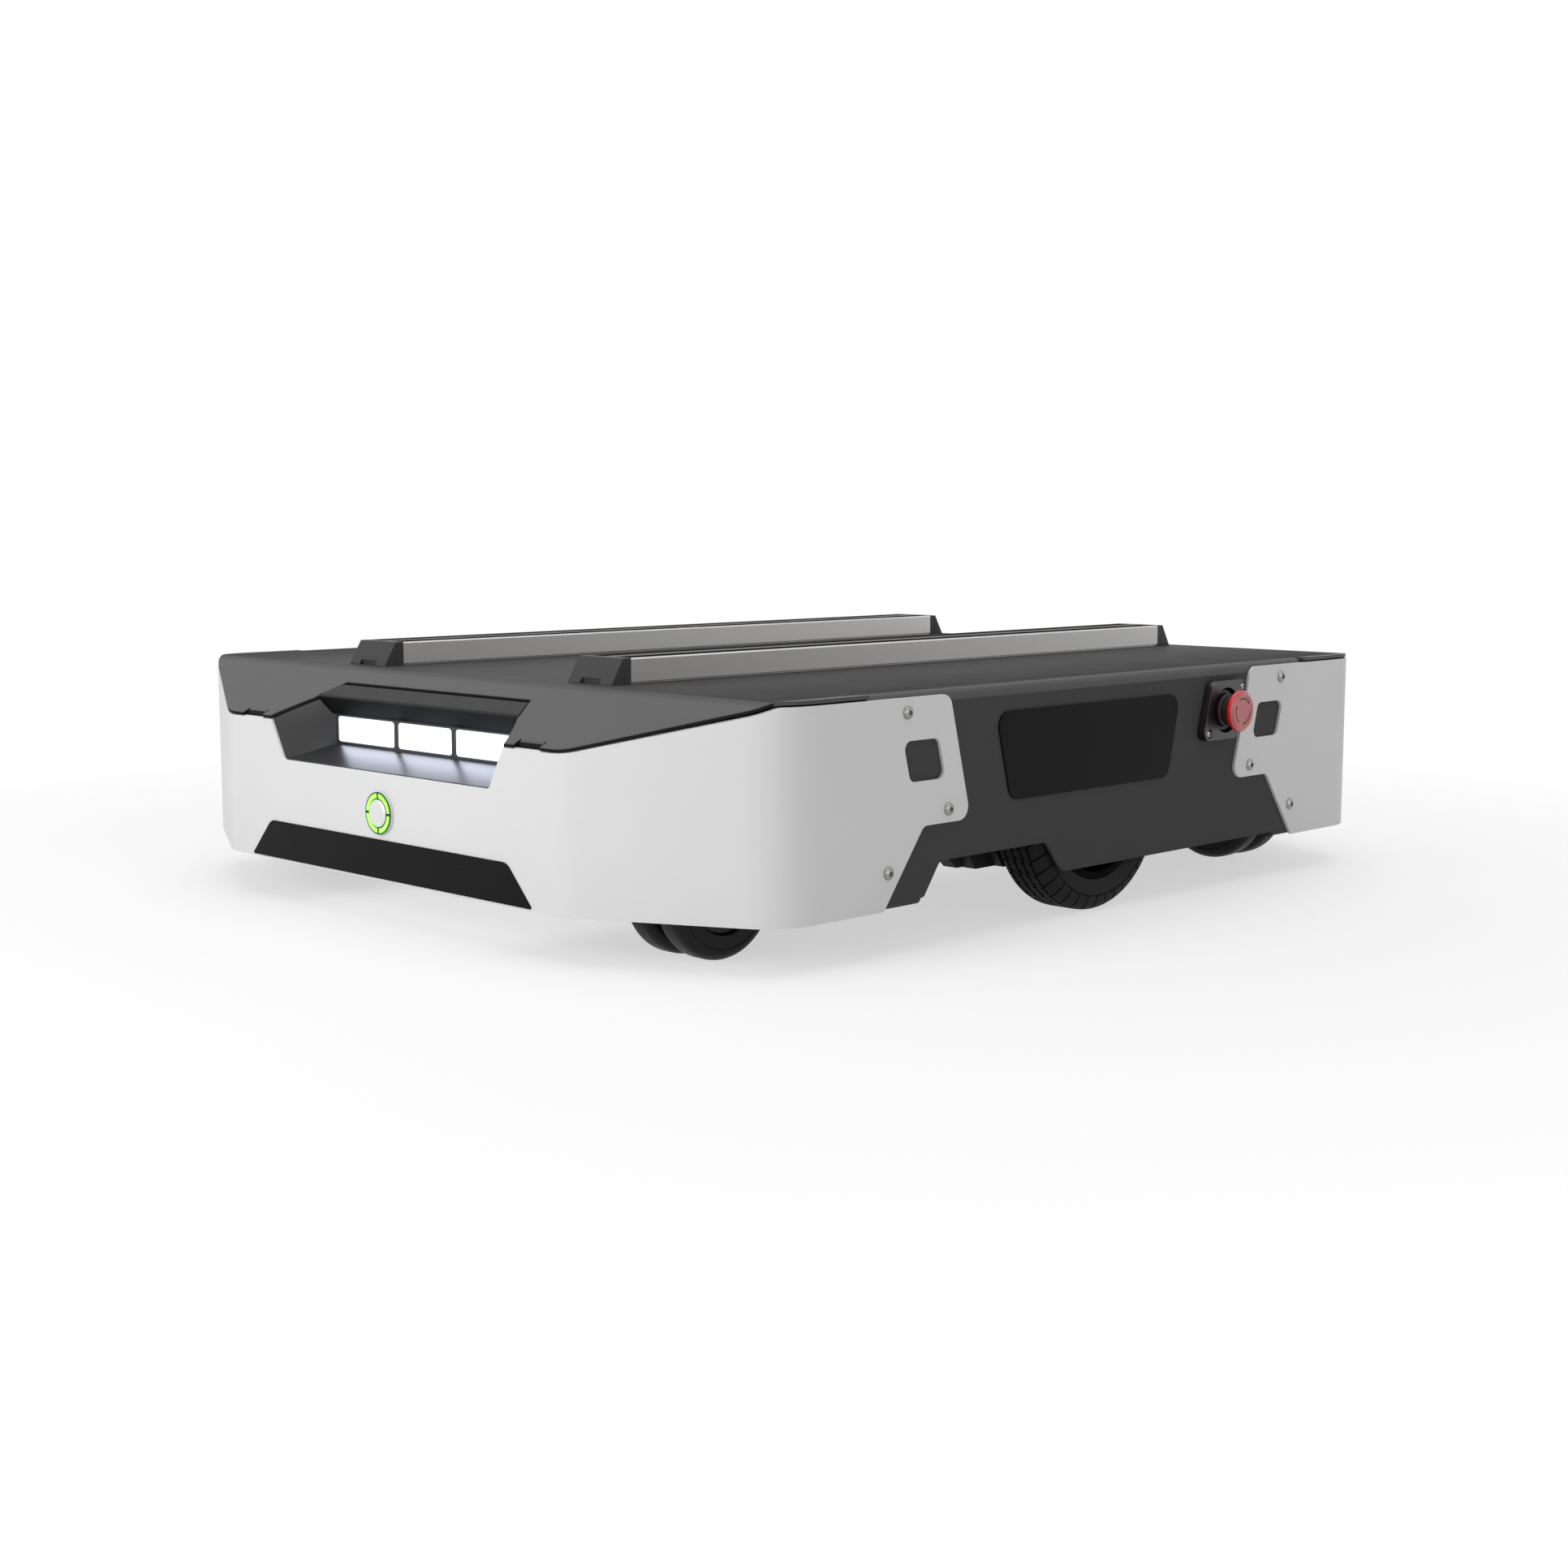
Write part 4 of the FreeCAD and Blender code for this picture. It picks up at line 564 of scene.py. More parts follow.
cut_end = TREAD_FLAT + SHOULDER_RUN + TYRE_RADIUS - SHOULDER_ROUND - WALL_CUT_END
carcass = []
for step in range(-CARCASS_STEPS, CARCASS_STEPS + 1):
    along = cut_end * step / CARCASS_STEPS
    (across, radius), way = tyre_skin(along)
    depth = cut_depth(along)
    carcass.append((across - way[0] * depth, radius - way[1] * depth))
foot = [(TYRE_HALF, WALL_CUT_END - WALL_STEP)]
foot += [(TYRE_HALF - inward, RIM_SEAT + up) for inward, up in BEAD_CORNERS]
carcass += foot + [(-across, radius) for across, radius in reversed(foot)]
edges = [-cut_end]
for groove in GROOVES:
    edges += [groove - GROOVE_HALF, groove + GROOVE_HALF]
edges.append(cut_end)
for side, sign in SIDES.items():
    pitch_shape = bmesh.new()
    for start, end in zip(edges[0::2], edges[1::2]):
        rows = SHOULDER_ROWS if end - start > SHOULDER_ROUND else BLOCK_ROWS
        tread_row(pitch_shape, start, end, rows, BLOCK_STEPS)
    bmesh.ops.transform(pitch_shape, matrix=outward(sign), verts=pitch_shape.verts)
    pitch_object = placed(side + "_tread_pitch", mesh_of(pitch_shape, side + "_tread_pitch"))
    tyre_mesh = ring_of_copies.grow(
        side + "_treaded_tyre",
        turned(side + "_carcass", carcass, TYRE_STEPS),
        {
            "Pattern": pitch_object,
            "Copies": PITCHES,
            "Place": (0.0, sign * WHEEL_ACROSS, AXLE_HEIGHT),
            "Material": rubber.material,
        },
    )
    bpy.data.objects.remove(pitch_object)
    tyre = shown(side + "_treaded_tyre", tyre_mesh, rubber, crease=38)
    seat(tyre, side + "_drive_wheel", side + "_drive_tyre")

rim_paint = powder_coat("rim_black_paint", (0.0009, 0.0009, 0.0009), 0.5, 0.02, 900.0, 0.00003)
bright_steel = plated_metal("bright_steel", (0.62, 0.61, 0.6), 0.22)
for side in SIDES:
    eased(side + "_drive_rim", rim_paint, 0.0006, 3)
    eased(side + "_drive_shaft", bright_steel, 0.00025)

# Casters: a pressed steel fork swivels under each corner and carries two wheels on one axle.
# Each wheel is a nylon hub with a smooth black tread moulded round it and a zinc hub disc.
CASTER_RADIUS = 0.040
CASTER_TRAIL = 0.025
CASTER_INNER = 0.0035
CASTER_OUTER = 0.0225
CASTER_CROWN = 0.006
TREAD_INNER = 0.025
HUB_FLOOR = 0.0195
DISC_RADIUS = 0.017
DISC_HOLE = 0.0075
DISC_FACE = 0.0205
AXLE_BORE = 0.00405
MOULD_LINE = 0.0333
LINE_HALF = 0.0005
LINE_FLOOR_HALF = 0.0002
LINE_DEPTH = 0.0003
TREAD_LAP = 0.0035
HUB_LIP = 0.0004
HUB_DISH = 0.0012
HUB_ROUND = 0.0003
DISH_OUTER = 0.0208
DISH_INNER = 0.0178
DISH_BLEND = 0.0007
BOSS_RADIUS = 0.0174
TREAD_STEP = 0.0002
TREAD_ROUND = 0.0006
HUB_STEP = 0.0008
DISC_ROUND = 0.0005
DISC_BEVEL = 0.002
DISC_DROP = 0.0005
BEVEL_ROUND = 0.0004
CASTER_STEPS = 72
CASTER_SPOTS = {
    "front_left": (0.249, 0.2026, 0),
    "front_right": (0.249, -0.2026, 180),
    "rear_left": (-0.249, 0.1814, 90),
    "rear_right": (-0.249, -0.1814, -90),
}


def rounded(corners, pieces=6):
    """Closed profile through (across, radius) corners, each rounded by its third number."""
    profile = []
    count = len(corners)
    for spot in range(count):
        corner = Vector(corners[spot][:2])
        size = corners[spot][2]
        if size == 0:
            profile.append(tuple(corner))
            continue
        to_last = (Vector(corners[spot - 1][:2]) - corner).normalized()
        to_next = (Vector(corners[(spot + 1) % count][:2]) - corner).normalized()
        half = to_last.angle(to_next) / 2
        run = size / math.tan(half)
        middle = corner + (to_last + to_next).normalized() * (size / math.sin(half))
        first = corner + to_last * run - middle
        last = corner + to_next * run - middle
        spread = first.angle(last)
        for step in range(pieces + 1):
            share = step / pieces
            part = math.sin((1 - share) * spread) * first + math.sin(share * spread) * last
            profile.append(tuple(middle + part / math.sin(spread)))
    return profile


caster_tread = rounded([
    (CASTER_INNER, TREAD_INNER, 0),
    (CASTER_INNER, CASTER_RADIUS, CASTER_CROWN),
    (CASTER_OUTER, CASTER_RADIUS, CASTER_CROWN),
    (CASTER_OUTER, MOULD_LINE + LINE_HALF, 0),
    (CASTER_OUTER - LINE_DEPTH, MOULD_LINE + LINE_FLOOR_HALF, 0),
    (CASTER_OUTER - LINE_DEPTH, MOULD_LINE - LINE_FLOOR_HALF, 0),
    (CASTER_OUTER, MOULD_LINE - LINE_HALF, 0),
    (CASTER_OUTER, TREAD_INNER + TREAD_STEP, TREAD_ROUND),
    (CASTER_OUTER - TREAD_LAP, TREAD_INNER, 0),
])
caster_hub = rounded([
    (CASTER_INNER, AXLE_BORE, 0),
    (CASTER_INNER, TREAD_INNER, 0),
    (CASTER_OUTER - TREAD_LAP, TREAD_INNER, 0),
    (HUB_FLOOR + HUB_LIP, TREAD_INNER - HUB_STEP, HUB_ROUND),
    (HUB_FLOOR + HUB_LIP, DISH_OUTER + DISH_BLEND, HUB_ROUND),
    (HUB_FLOOR - HUB_DISH, DISH_OUTER, HUB_ROUND),
    (HUB_FLOOR - HUB_DISH, DISH_INNER, HUB_ROUND),
    (HUB_FLOOR, BOSS_RADIUS, HUB_ROUND),
    (HUB_FLOOR, AXLE_BORE, 0),
])
caster_disc = rounded([
    (HUB_FLOOR, DISC_HOLE, 0),
    (HUB_FLOOR, DISC_RADIUS, 0),
    (DISC_FACE, DISC_RADIUS, DISC_ROUND),
    (DISC_FACE, DISC_HOLE + DISC_BEVEL, BEVEL_ROUND),
    (DISC_FACE - DISC_DROP, DISC_HOLE, 0),
])
caster_black = Finish("caster_tread_black", {"Specular IOR Level": 0.2})
scuff = caster_black.noise(60.0, 4.0)
caster_black.shade(scuff, (0.0035, 0.0035, 0.0035), (0.007, 0.007, 0.007))
caster_black.give("Roughness", 0.36 + 0.18 * scuff)
caster_black.emboss(caster_black.noise(1100.0, 2.0), 0.00002)
hub_nylon = Finish("caster_hub_nylon", {"Specular IOR Level": 0.4})
speckle = hub_nylon.noise(1300.0, 3.0)
hub_nylon.shade(speckle, (0.011, 0.011, 0.011), (0.018, 0.018, 0.018))
hub_nylon.give("Roughness", 0.45 + 0.2 * speckle)
hub_nylon.emboss(speckle, 0.00004)
disc_zinc = plated_metal("caster_disc_zinc", (0.3, 0.29, 0.28), 0.42)
for spot, (x, y, heading) in CASTER_SPOTS.items():
    eased(spot + "_caster_fork", zinc, 0.00015)
    swivel = Matrix.Translation((x, y, 0)) @ Matrix.Rotation(math.radians(heading), 4, "Z")
    axle = swivel @ Matrix.Translation((CASTER_TRAIL, 0, CASTER_RADIUS))
    for letter, sign in (("a", 1), ("b", -1)):
        wheel = "%s_caster_wheel_%s" % (spot, letter)
        for part, profile, finish in (
            ("tread", caster_tread, caster_black),
            ("hub", caster_hub, hub_nylon),
            ("disc", caster_disc, disc_zinc),
        ):
            name = wheel + "_" + part
            mesh = turned(name, profile, CASTER_STEPS)
            mesh.transform(axle @ outward(sign))
            piece = shown(name, mesh, finish, crease=40)
            if part == "tread":
                seat(piece, wheel, wheel)
            else:
                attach(piece, wheel)
                "caster_rubber" if part == "hub" else "steel"

# Shells: one 2 mm steel sheet round each end, cut with the light opening and the two windows,
# bent at the corners and wrapped on to the sides, then coated semi-gloss white.
white_coat = powder_coat("white_powder_coat", (0.7, 0.7, 0.7), 0.4, 0.05, 650.0, 0.000012)
eased("front_shell", white_coat, 0.0005, 2, guarded=True)
eased("rear_shell", white_coat, 0.0005, 2, guarded=True)

# Deck: one 2 mm steel sheet, folded down at the slopes and the side skirts, with fixing tabs
# and bend reliefs on its edges. Its satin dark grey coat is glossier on the slopes. Its colour
# carries painted shade, darker towards the side folds and darkest on the cut edges of the slopes.
SLOPE_START = 0.288
SLOPE_BLEND = 0.008
FOLD_START = 0.2775
FOLD_BLEND = 0.002
FOLD_FOOT = 0.1432
SHADE_START = 0.15
SHADE_BLEND = 0.12
FLAT_HEIGHT = 0.1497
SLOPE_TOP = 0.15
SLOPE_FOLD = 0.29
SLOPE_FALL = 0.4949
EDGE_SKIN = 0.0005
EDGE_FOOT = 0.003


def below_slope(finish):
    """How far a point lies under the plane of the end slopes, straight down."""
    return SLOPE_TOP - SLOPE_FALL * (abs(finish.along("X")) - SLOPE_FOLD) - finish.along("Z")


dark_coat = powder_coat("dark_powder_coat", (0.0635, 0.0635, 0.0647), 0.55, 0.02, 900.0, 0.00003)
lengthwise = abs(dark_coat.along("X"))
on_slope = ((lengthwise - SLOPE_START) / SLOPE_BLEND).clipped()
across = abs(dark_coat.along("Y"))
height = dark_coat.along("Z")
on_fold = ((across - FOLD_START) / FOLD_BLEND).clipped() * (height > FOLD_FOOT)
painted_shade_by_fold = ((across - SHADE_START) / SHADE_BLEND).clipped() * (height > FLAT_HEIGHT)
drop = below_slope(dark_coat)
painted_shade_cut_edge = (drop > EDGE_SKIN) * (drop < EDGE_FOOT) * (lengthwise > SLOPE_FOLD)
# Painted shade: the flat top of the deck is coloured darker towards its side folds.
dark_coat.lay(painted_shade_by_fold, (0.014, 0.014, 0.0143))
# Painted shade: the cut edges of the slopes are coloured near black and lose their coat.
dark_coat.lay(painted_shade_cut_edge, (0.012, 0.012, 0.0123))
dark_coat.give("Coat Weight", 0.02 + (0.55 * on_slope + 0.5 * on_fold) * (1 - painted_shade_cut_edge))
dark_coat.give("Coat Roughness", 0.4)
eased("deck_plate", dark_coat, 0.0004, 2, guarded=True)

# Light bars: a moulded black trough in each end, with three clear panels behind a hood. The
# front panels are white and lit, less so along their edges; the rear ones are red and off,
# with upright ribs behind.
HOOD_LIP = 0.0008
BAR_MIDDLE = 0.02985
BAR_REACH = 0.0029
PANEL_END = 0.093
PANEL_LOW = 0.1045
PANEL_HIGH = 0.1192
trough_plastic = Finish("trough_moulding", {"Specular IOR Level": 0.5})
pebble = trough_plastic.noise(1400.0, 2.0)
trough_plastic.shade(pebble, (0.011, 0.011, 0.0117), (0.016, 0.016, 0.0168))
trough_plastic.give("Roughness", 0.3 + 0.1 * pebble)
trough_plastic.emboss(pebble, 0.00001)
hood_plastic = powder_coat("hood_moulding", (0.0305, 0.0305, 0.0315), 0.5, 0.08, 1400.0, 0.00002)
# Painted shade: below the plane of the slope, the hood's front face is coloured near black.
hood_plastic.lay(below_slope(hood_plastic) > HOOD_LIP, (0.006, 0.006, 0.0062))
lit_panel = Finish("lit_white_panel", {"Roughness": 0.25, "Emission Strength": 4.9})
glow = lit_panel.noise(60.0, 1.0)
lit_panel.shade(glow, (0.78, 0.8, 0.84), (0.84, 0.86, 0.9))
lamp_tone = lit_panel.mixed(glow, tone(0.74, 0.8, 1.0), tone(0.82, 0.87, 1.0))
sideways = abs(lit_panel.along("Y"))
level = lit_panel.along("Z")
at_edge = (abs(sideways - BAR_MIDDLE) < BAR_REACH) + (sideways > PANEL_END)
at_edge = (at_edge + (level < PANEL_LOW) + (level > PANEL_HIGH)).clipped()
lit_panel.give("Emission Color", lit_panel.mixed(at_edge, lamp_tone, tone(0.13, 0.135, 0.17)))
red_panel = Finish("red_panel", {"Coat Weight": 0.6, "Coat Roughness": 0.06})
ribs = red_panel.node(
    "ShaderNodeTexWave",
    {"bands_direction": "Y", "wave_profile": "SIN"},
    {"Vector": red_panel.here, "Scale": 95.0},
    output="Fac",
)
red_panel.shade(ribs, (0.16, 0.004, 0.004), (0.32, 0.012, 0.01))
red_panel.give("Roughness", 0.18 + 0.15 * ribs)
red_panel.emboss(ribs, 0.0004)
for end, panel in (("headlight", lit_panel), ("tail_light", red_panel)):
    eased(end + "_housing", trough_plastic, 0.0003, 2, guarded=True)
    eased(end + "_hood", hood_plastic, 0.0002, 2)
    eased(end + "_lenses", panel, 0.0003)

# Badge plates: bare gloss black plates, cut from thin acrylic and glued on the front face and
# on both skirts.
acrylic = Finish("badge_acrylic", {"Specular IOR Level": 0.06})
haze = acrylic.noise(30.0, 4.0)
acrylic.shade(haze, (0.0045, 0.0045, 0.0045), (0.0065, 0.0065, 0.0065))
wipes = acrylic.noise(1.0, 3.0, acrylic.stretched((24.0, 24.0, 700.0), (0.0, 0.5, 0.2)))
acrylic.give("Roughness", 0.24 + 0.14 * wipes)
acrylic.emboss(wipes, 0.000004)
eased("front_badge_plate", acrylic, 0.00025)
eased("side_badge_plates", acrylic, 0.00025)

# Power button: a black bezel on a white collar, set through the front sheet, a light guide in
# four green segments, and a spun metal cap that is pressed in.
COLLAR_BACK = 0.3489
COLLAR_FRONT = 0.3509
BUTTON_HEIGHT = 0.0692
GLOW_RADIUS = 0.01065
GLOW_HALF = 0.00127


def from_button_axis(finish):
    """How far a point lies from the middle line of the button."""
    across = finish.along("Y")
    rise = finish.along("Z") - BUTTON_HEIGHT
    return (across * across + rise * rise) ** 0.5


bezel_plastic = Finish("bezel_moulding", {"Specular IOR Level": 0.3})
fine = bezel_plastic.noise(1600.0, 2.0)
bezel_plastic.shade(fine, (0.01, 0.01, 0.011), (0.016, 0.016, 0.017))
ahead = bezel_plastic.along("X")
bezel_plastic.lay((ahead > COLLAR_BACK) * (ahead < COLLAR_FRONT), (0.7, 0.7, 0.7))
bezel_plastic.give("Roughness", 0.32 + 0.12 * fine)
bezel_plastic.emboss(fine, 0.00001)
light_guide = Finish("green_light_guide", {"Roughness": 0.3, "Emission Strength": 1.0})
off_middle = (from_button_axis(light_guide) - GLOW_RADIUS) / GLOW_HALF
edge_share = (off_middle * off_middle).clipped()
light_guide.shade(edge_share, (0.3, 0.7, 0.08), (0.1, 0.6, 0.05))
lit_tone = light_guide.mixed(edge_share, tone(0.56, 1.0, 0.1), tone(0.05, 0.85, 0.02))
light_guide.give("Emission Color", lit_tone)
spun_metal = Finish("spun_button_metal", {"Metallic": 1.0})
lathe_lines = spun_metal.node(
    "ShaderNodeTexNoise",
    {"noise_dimensions": "1D"},
    {"W": from_button_axis(spun_metal), "Scale": 9000.0, "Detail": 1.0},
    output="Fac",
)
spun_metal.shade(lathe_lines, (0.72, 0.72, 0.71), (0.86, 0.86, 0.85))
spun_metal.give("Roughness", 0.2 + 0.12 * lathe_lines)
spun_metal.emboss(lathe_lines, 0.00003)
eased("power_button_body", bezel_plastic)
eased("power_button_ring", light_guide, 0.0002)
eased("power_button_cap", spun_metal, 0.0002)

# Emergency stops: an anodised plate screwed on each skirt, a black collar in its hole, and a
# red mushroom head that is pushed in and turned to let go. A rubber band fills the groove of
# its neck, and three arrows printed on the sunk face show which way to turn it.
STOP_X = -0.1212
STOP_Z = 0.1203
STEM_BORE = 0.00505
NECK_BACK = 0.285
NECK_RADIUS = 0.0108
GROOVE_RADIUS = 0.0101
GROOVE_START = 0.2914
GROOVE_END = 0.296
RIM_RADIUS = 0.01375
RIM_BACK = 0.3
RIM_FRONT = 0.3022
HEAD_TOP = 0.3034
RIM_LIP = 0.0012
NECK_SHADE = 0.2975
HEAD_INSIDE = 0.2999
FACE_RADIUS = 0.0104
FACE_SINK = 0.0003
BAND_PROUD = 0.0003
BAND_GAP = 0.0005
NECK_ROUND = 0.0006
GROOVE_ROUND = 0.0004
GROOVE_SLANT = 0.0006
FLARE_RUN = 0.0016
FLARE_RISE = 0.0008
FLARE_ROUND = 0.001
RIM_ROUND = 0.0012
LIP_OUTER = 0.0007
LIP_INNER = 0.0003
LIP_ROUND = 0.0008
EDGE_ROUND = 0.0002
ARROW_RADIUS = 0.0083
ARROW_HALF = 0.0004
ARROW_HEAD_HALF = 0.0011
ARROW_START = math.radians(-28)
ARROW_NECK = math.radians(46)
ARROW_TIP = math.radians(58)
ARROW_STEPS = 16
ARROW_COUNT = 3
INK_RISE = 0.00004
STOP_STEPS = 96
head_profile = rounded([
    (NECK_BACK, STEM_BORE, 0),
    (NECK_BACK, NECK_RADIUS, NECK_ROUND),
    (GROOVE_START, NECK_RADIUS, GROOVE_ROUND),
    (GROOVE_START + GROOVE_SLANT, GROOVE_RADIUS, 0),
    (GROOVE_END, GROOVE_RADIUS, 0),
    (GROOVE_END + FLARE_RUN, NECK_RADIUS + FLARE_RISE, FLARE_ROUND),
    (RIM_BACK, RIM_RADIUS, RIM_ROUND),
    (RIM_FRONT, RIM_RADIUS, RIM_ROUND),
    (HEAD_TOP, FACE_RADIUS + LIP_OUTER, LIP_ROUND),
    (HEAD_TOP, FACE_RADIUS + LIP_INNER, EDGE_ROUND),
    (HEAD_TOP - FACE_SINK, FACE_RADIUS, EDGE_ROUND),
    (HEAD_TOP - FACE_SINK, 0, 0),
    (HEAD_INSIDE, 0, 0),
    (HEAD_INSIDE, STEM_BORE, 0),
])
band_profile = rounded([
    (GROOVE_START + BAND_GAP, GROOVE_RADIUS, 0),
    (GROOVE_START + BAND_GAP, GROOVE_RADIUS + BAND_PROUD, EDGE_ROUND),
    (GROOVE_END, GROOVE_RADIUS + BAND_PROUD, EDGE_ROUND),
    (GROOVE_END, GROOVE_RADIUS, 0),
])


def printed_arrow(name):
    """One bent arrow in ink, lying round the Y axis, clockwise from outside."""
    shape = bmesh.new()
    edge = []
    for side in (1, -1):
        line = []
        for step in range(ARROW_STEPS + 1):
            angle = ARROW_START + (ARROW_NECK - ARROW_START) * step / ARROW_STEPS
            line.append((angle, side * ARROW_HALF))
        line.append((ARROW_NECK, side * ARROW_HEAD_HALF))
        if side > 0:
            edge += line + [(ARROW_TIP, 0.0)]
        else:
            edge += reversed(line)
    levels = []
    for height in (0.0, INK_RISE):
        level = []
        for angle, offset in edge:
            radius = ARROW_RADIUS + offset
            level.append(shape.verts.new((-radius * math.sin(angle), height, radius * math.cos(angle))))
        shape.faces.new(level)
        levels.append(level)
    count = len(edge)
    for spot in range(count):
        beside = (spot + 1) % count
        shape.faces.new((levels[0][spot], levels[0][beside], levels[1][beside], levels[1][spot]))
    return mesh_of(shape, name)


plate_metal = Finish("stop_plate_anodised", {"Metallic": 1.0})
brushing = plate_metal.noise(1.0, 3.0, plate_metal.stretched((300.0, 300.0, 40.0)))
plate_metal.shade(brushing, (0.07, 0.07, 0.0714), (0.0945, 0.095, 0.0966))
plate_metal.give("Roughness", 0.3 + 0.1 * brushing)
plate_metal.emboss(brushing, 0.000004)
stop_gloss = {"Specular IOR Level": 0.6, "Coat Roughness": 0.3, "Coat IOR": 1.7}
stop_red = Finish("stop_red_moulding", stop_gloss)
satin = stop_red.noise(900.0, 3.0)
from_middle = abs(stop_red.along("Y"))
stop_red.shade(satin, (0.33, 0.007, 0.009), (0.39, 0.011, 0.013))
# Painted highlight: the rim and flare of the head are coloured a brighter, purer red than its face.
stop_red.lay(from_middle < RIM_FRONT, (0.68, 0.006, 0.008))
# Painted shade: the red neck under the head is coloured near black.
stop_red.lay(from_middle < NECK_SHADE, (0.022, 0.003, 0.003))
stop_red.give("Coat Weight", 0.85 * (from_middle > HEAD_TOP - RIM_LIP))
stop_red.give("Roughness", 0.36 + 0.1 * satin)
stop_red.emboss(satin, 0.00001)
band_rubber = Finish("stop_band_rubber", {"Specular IOR Level": 0.3})
dust = band_rubber.noise(700.0, 3.0)
band_rubber.shade(dust, (0.008, 0.007, 0.007), (0.014, 0.012, 0.012))
band_rubber.give("Roughness", 0.45 + 0.2 * dust)
band_rubber.emboss(dust, 0.00002)
arrow_ink = Finish("arrow_ink", {"Specular IOR Level": 0.3})
fleck = arrow_ink.noise(500.0)
arrow_ink.shade(fleck, (0.012, 0.008, 0.009), (0.03, 0.02, 0.021))
arrow_ink.give("Roughness", 0.5 + 0.2 * fleck)
eased("estop_plates", plate_metal, 0.0004, 3, guarded=True)
eased("estop_bodies", bezel_plastic, 0.00015)
arrow_pattern = placed("printed_arrow", printed_arrow("printed_arrow"))
for side, sign in SIDES.items():
    eased(side + "_estop_stem", bright_steel)
    knob = side + "_estop_knob"
    place = Matrix.Translation((STOP_X, 0, STOP_Z)) @ outward(sign)
    arrows = ring_of_copies.grow(
        side + "_estop_arrows",
        bpy.data.meshes.new(side + "_estop_arrow_seat"),
        {
            "Pattern": arrow_pattern,
            "Copies": ARROW_COUNT,
            "Place": (0.0, HEAD_TOP - FACE_SINK, 0.0),
            "Material": arrow_ink.material,
        },
    )
    for part, mesh, finish in (
        ("head", turned(side + "_estop_head_turned", head_profile, STOP_STEPS), stop_red),
        ("band", turned(side + "_estop_band", band_profile, STOP_STEPS), band_rubber),
        ("arrows", arrows, arrow_ink),
    ):
        mesh.transform(place)
        piece = shown(mesh.name, mesh, finish, crease=38)
        if part == "head":
            seat(piece, knob, side + "_estop_head")
        else:
            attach(piece, knob)
bpy.data.objects.remove(arrow_pattern)

# Rear sockets: square black flanges with round sockets for charging and for data, fixed
# through the rear sheet.
eased("charging_socket", bezel_plastic, 0.0004, 3)
eased("data_socket", bezel_plastic)

# Screws: bright steel button heads with hexagon sockets hold the wings of the shells to the
# skirts, and smaller ones, sunk into their plates, hold the emergency stops.
WING_SEAT = 0.2865
PLATE_SEAT = 0.2892
WING_SCREWS = ((0.1922, 0.1385), (0.1563, 0.0806), (0.2077, 0.0490))
PLATE_SCREWS = ((-0.1402, 0.1351), (-0.1019, 0.1056))
WING_SIZES = {
    "Head radius": 0.0038,
    "Head height": 0.0022,
    "Socket width": 0.0029,
    "Shank radius": 0.002,
    "Shank length": 0.0078,
}
PLATE_SIZES = {
    "Head radius": 0.0025,
    "Head height": 0.0016,
    "Socket width": 0.002,
    "Shank radius": 0.0015,
    "Shank length": 0.0082,
}
HEAD_TAPER = 0.5
HEAD_CURVE = 2.6
SOCKET_DEPTH = 1.1
HEAD_SIDES = 36
HEAD_LEVELS = 8
SHANK_SIDES = 20
button_heads = Growth("button_heads", {**dict.fromkeys(WING_SIZES, "Float"), "Material": "Material"})
head_height = button_heads.entered("Head height")
blank = button_heads.node(
    "GeometryNodeMeshCylinder",
    {"fill_type": "NGON"},
    {
        "Vertices": HEAD_SIDES,
        "Side Segments": HEAD_LEVELS,
        "Radius": button_heads.entered("Head radius"),
        "Depth": head_height,
    },
)
position = button_heads.node("GeometryNodeInputPosition")
split = {}
for axis in "XYZ":
    split[axis] = button_heads.node("ShaderNodeSeparateXYZ", sockets={"Vector": position}, output=axis)
up_head = split["Z"] / head_height + 0.5
narrow = 1 - HEAD_TAPER * up_head ** HEAD_CURVE
domed = button_heads.node(
    "GeometryNodeSetPosition",
    sockets={
        "Geometry": blank,
        "Position": button_heads.node(
            "ShaderNodeCombineXYZ",
            sockets={"X": split["X"] * narrow, "Y": split["Y"] * narrow, "Z": up_head * head_height},
        ),
    },
)
hexagon = button_heads.node(
    "GeometryNodeMeshCylinder",
    {"fill_type": "NGON"},
    {
        "Vertices": 6,
        "Radius": button_heads.entered("Socket width") / math.sqrt(3.0),
        "Depth": head_height * SOCKET_DEPTH,
    },
)
hexagon = button_heads.node(
    "GeometryNodeTransform",
    sockets={
        "Geometry": hexagon,
        "Translation": button_heads.node("ShaderNodeCombineXYZ", sockets={"Z": head_height}),
    },
)
cut = button_heads.tree.nodes.new("GeometryNodeMeshBoolean")
cut.operation = "DIFFERENCE"
button_heads.feed(cut.inputs["Mesh 1"], domed)
button_heads.feed(cut.inputs["Mesh 2"], hexagon)
shank = button_heads.node(
    "GeometryNodeMeshCylinder",
    {"fill_type": "NGON"},
    {
        "Vertices": SHANK_SIDES,
        "Radius": button_heads.entered("Shank radius"),
        "Depth": button_heads.entered("Shank length"),
    },
)
shank = button_heads.node(
    "GeometryNodeTransform",
    sockets={
        "Geometry": shank,
        "Translation": button_heads.node(
            "ShaderNodeCombineXYZ", sockets={"Z": button_heads.entered("Shank length") * -0.5}
        ),
    },
)
whole = button_heads.tree.nodes.new("GeometryNodeJoinGeometry")
button_heads.feed(whole.inputs[0], Flow(button_heads, cut.outputs[0]))
button_heads.feed(whole.inputs[0], shank)
facing = button_heads.node(
    "GeometryNodeInputNamedAttribute", {"data_type": "FLOAT_VECTOR"}, {"Name": "facing"}
)
upright = button_heads.node("FunctionNodeAlignRotationToVector", {"axis": "Z"}, {"Vector": facing})
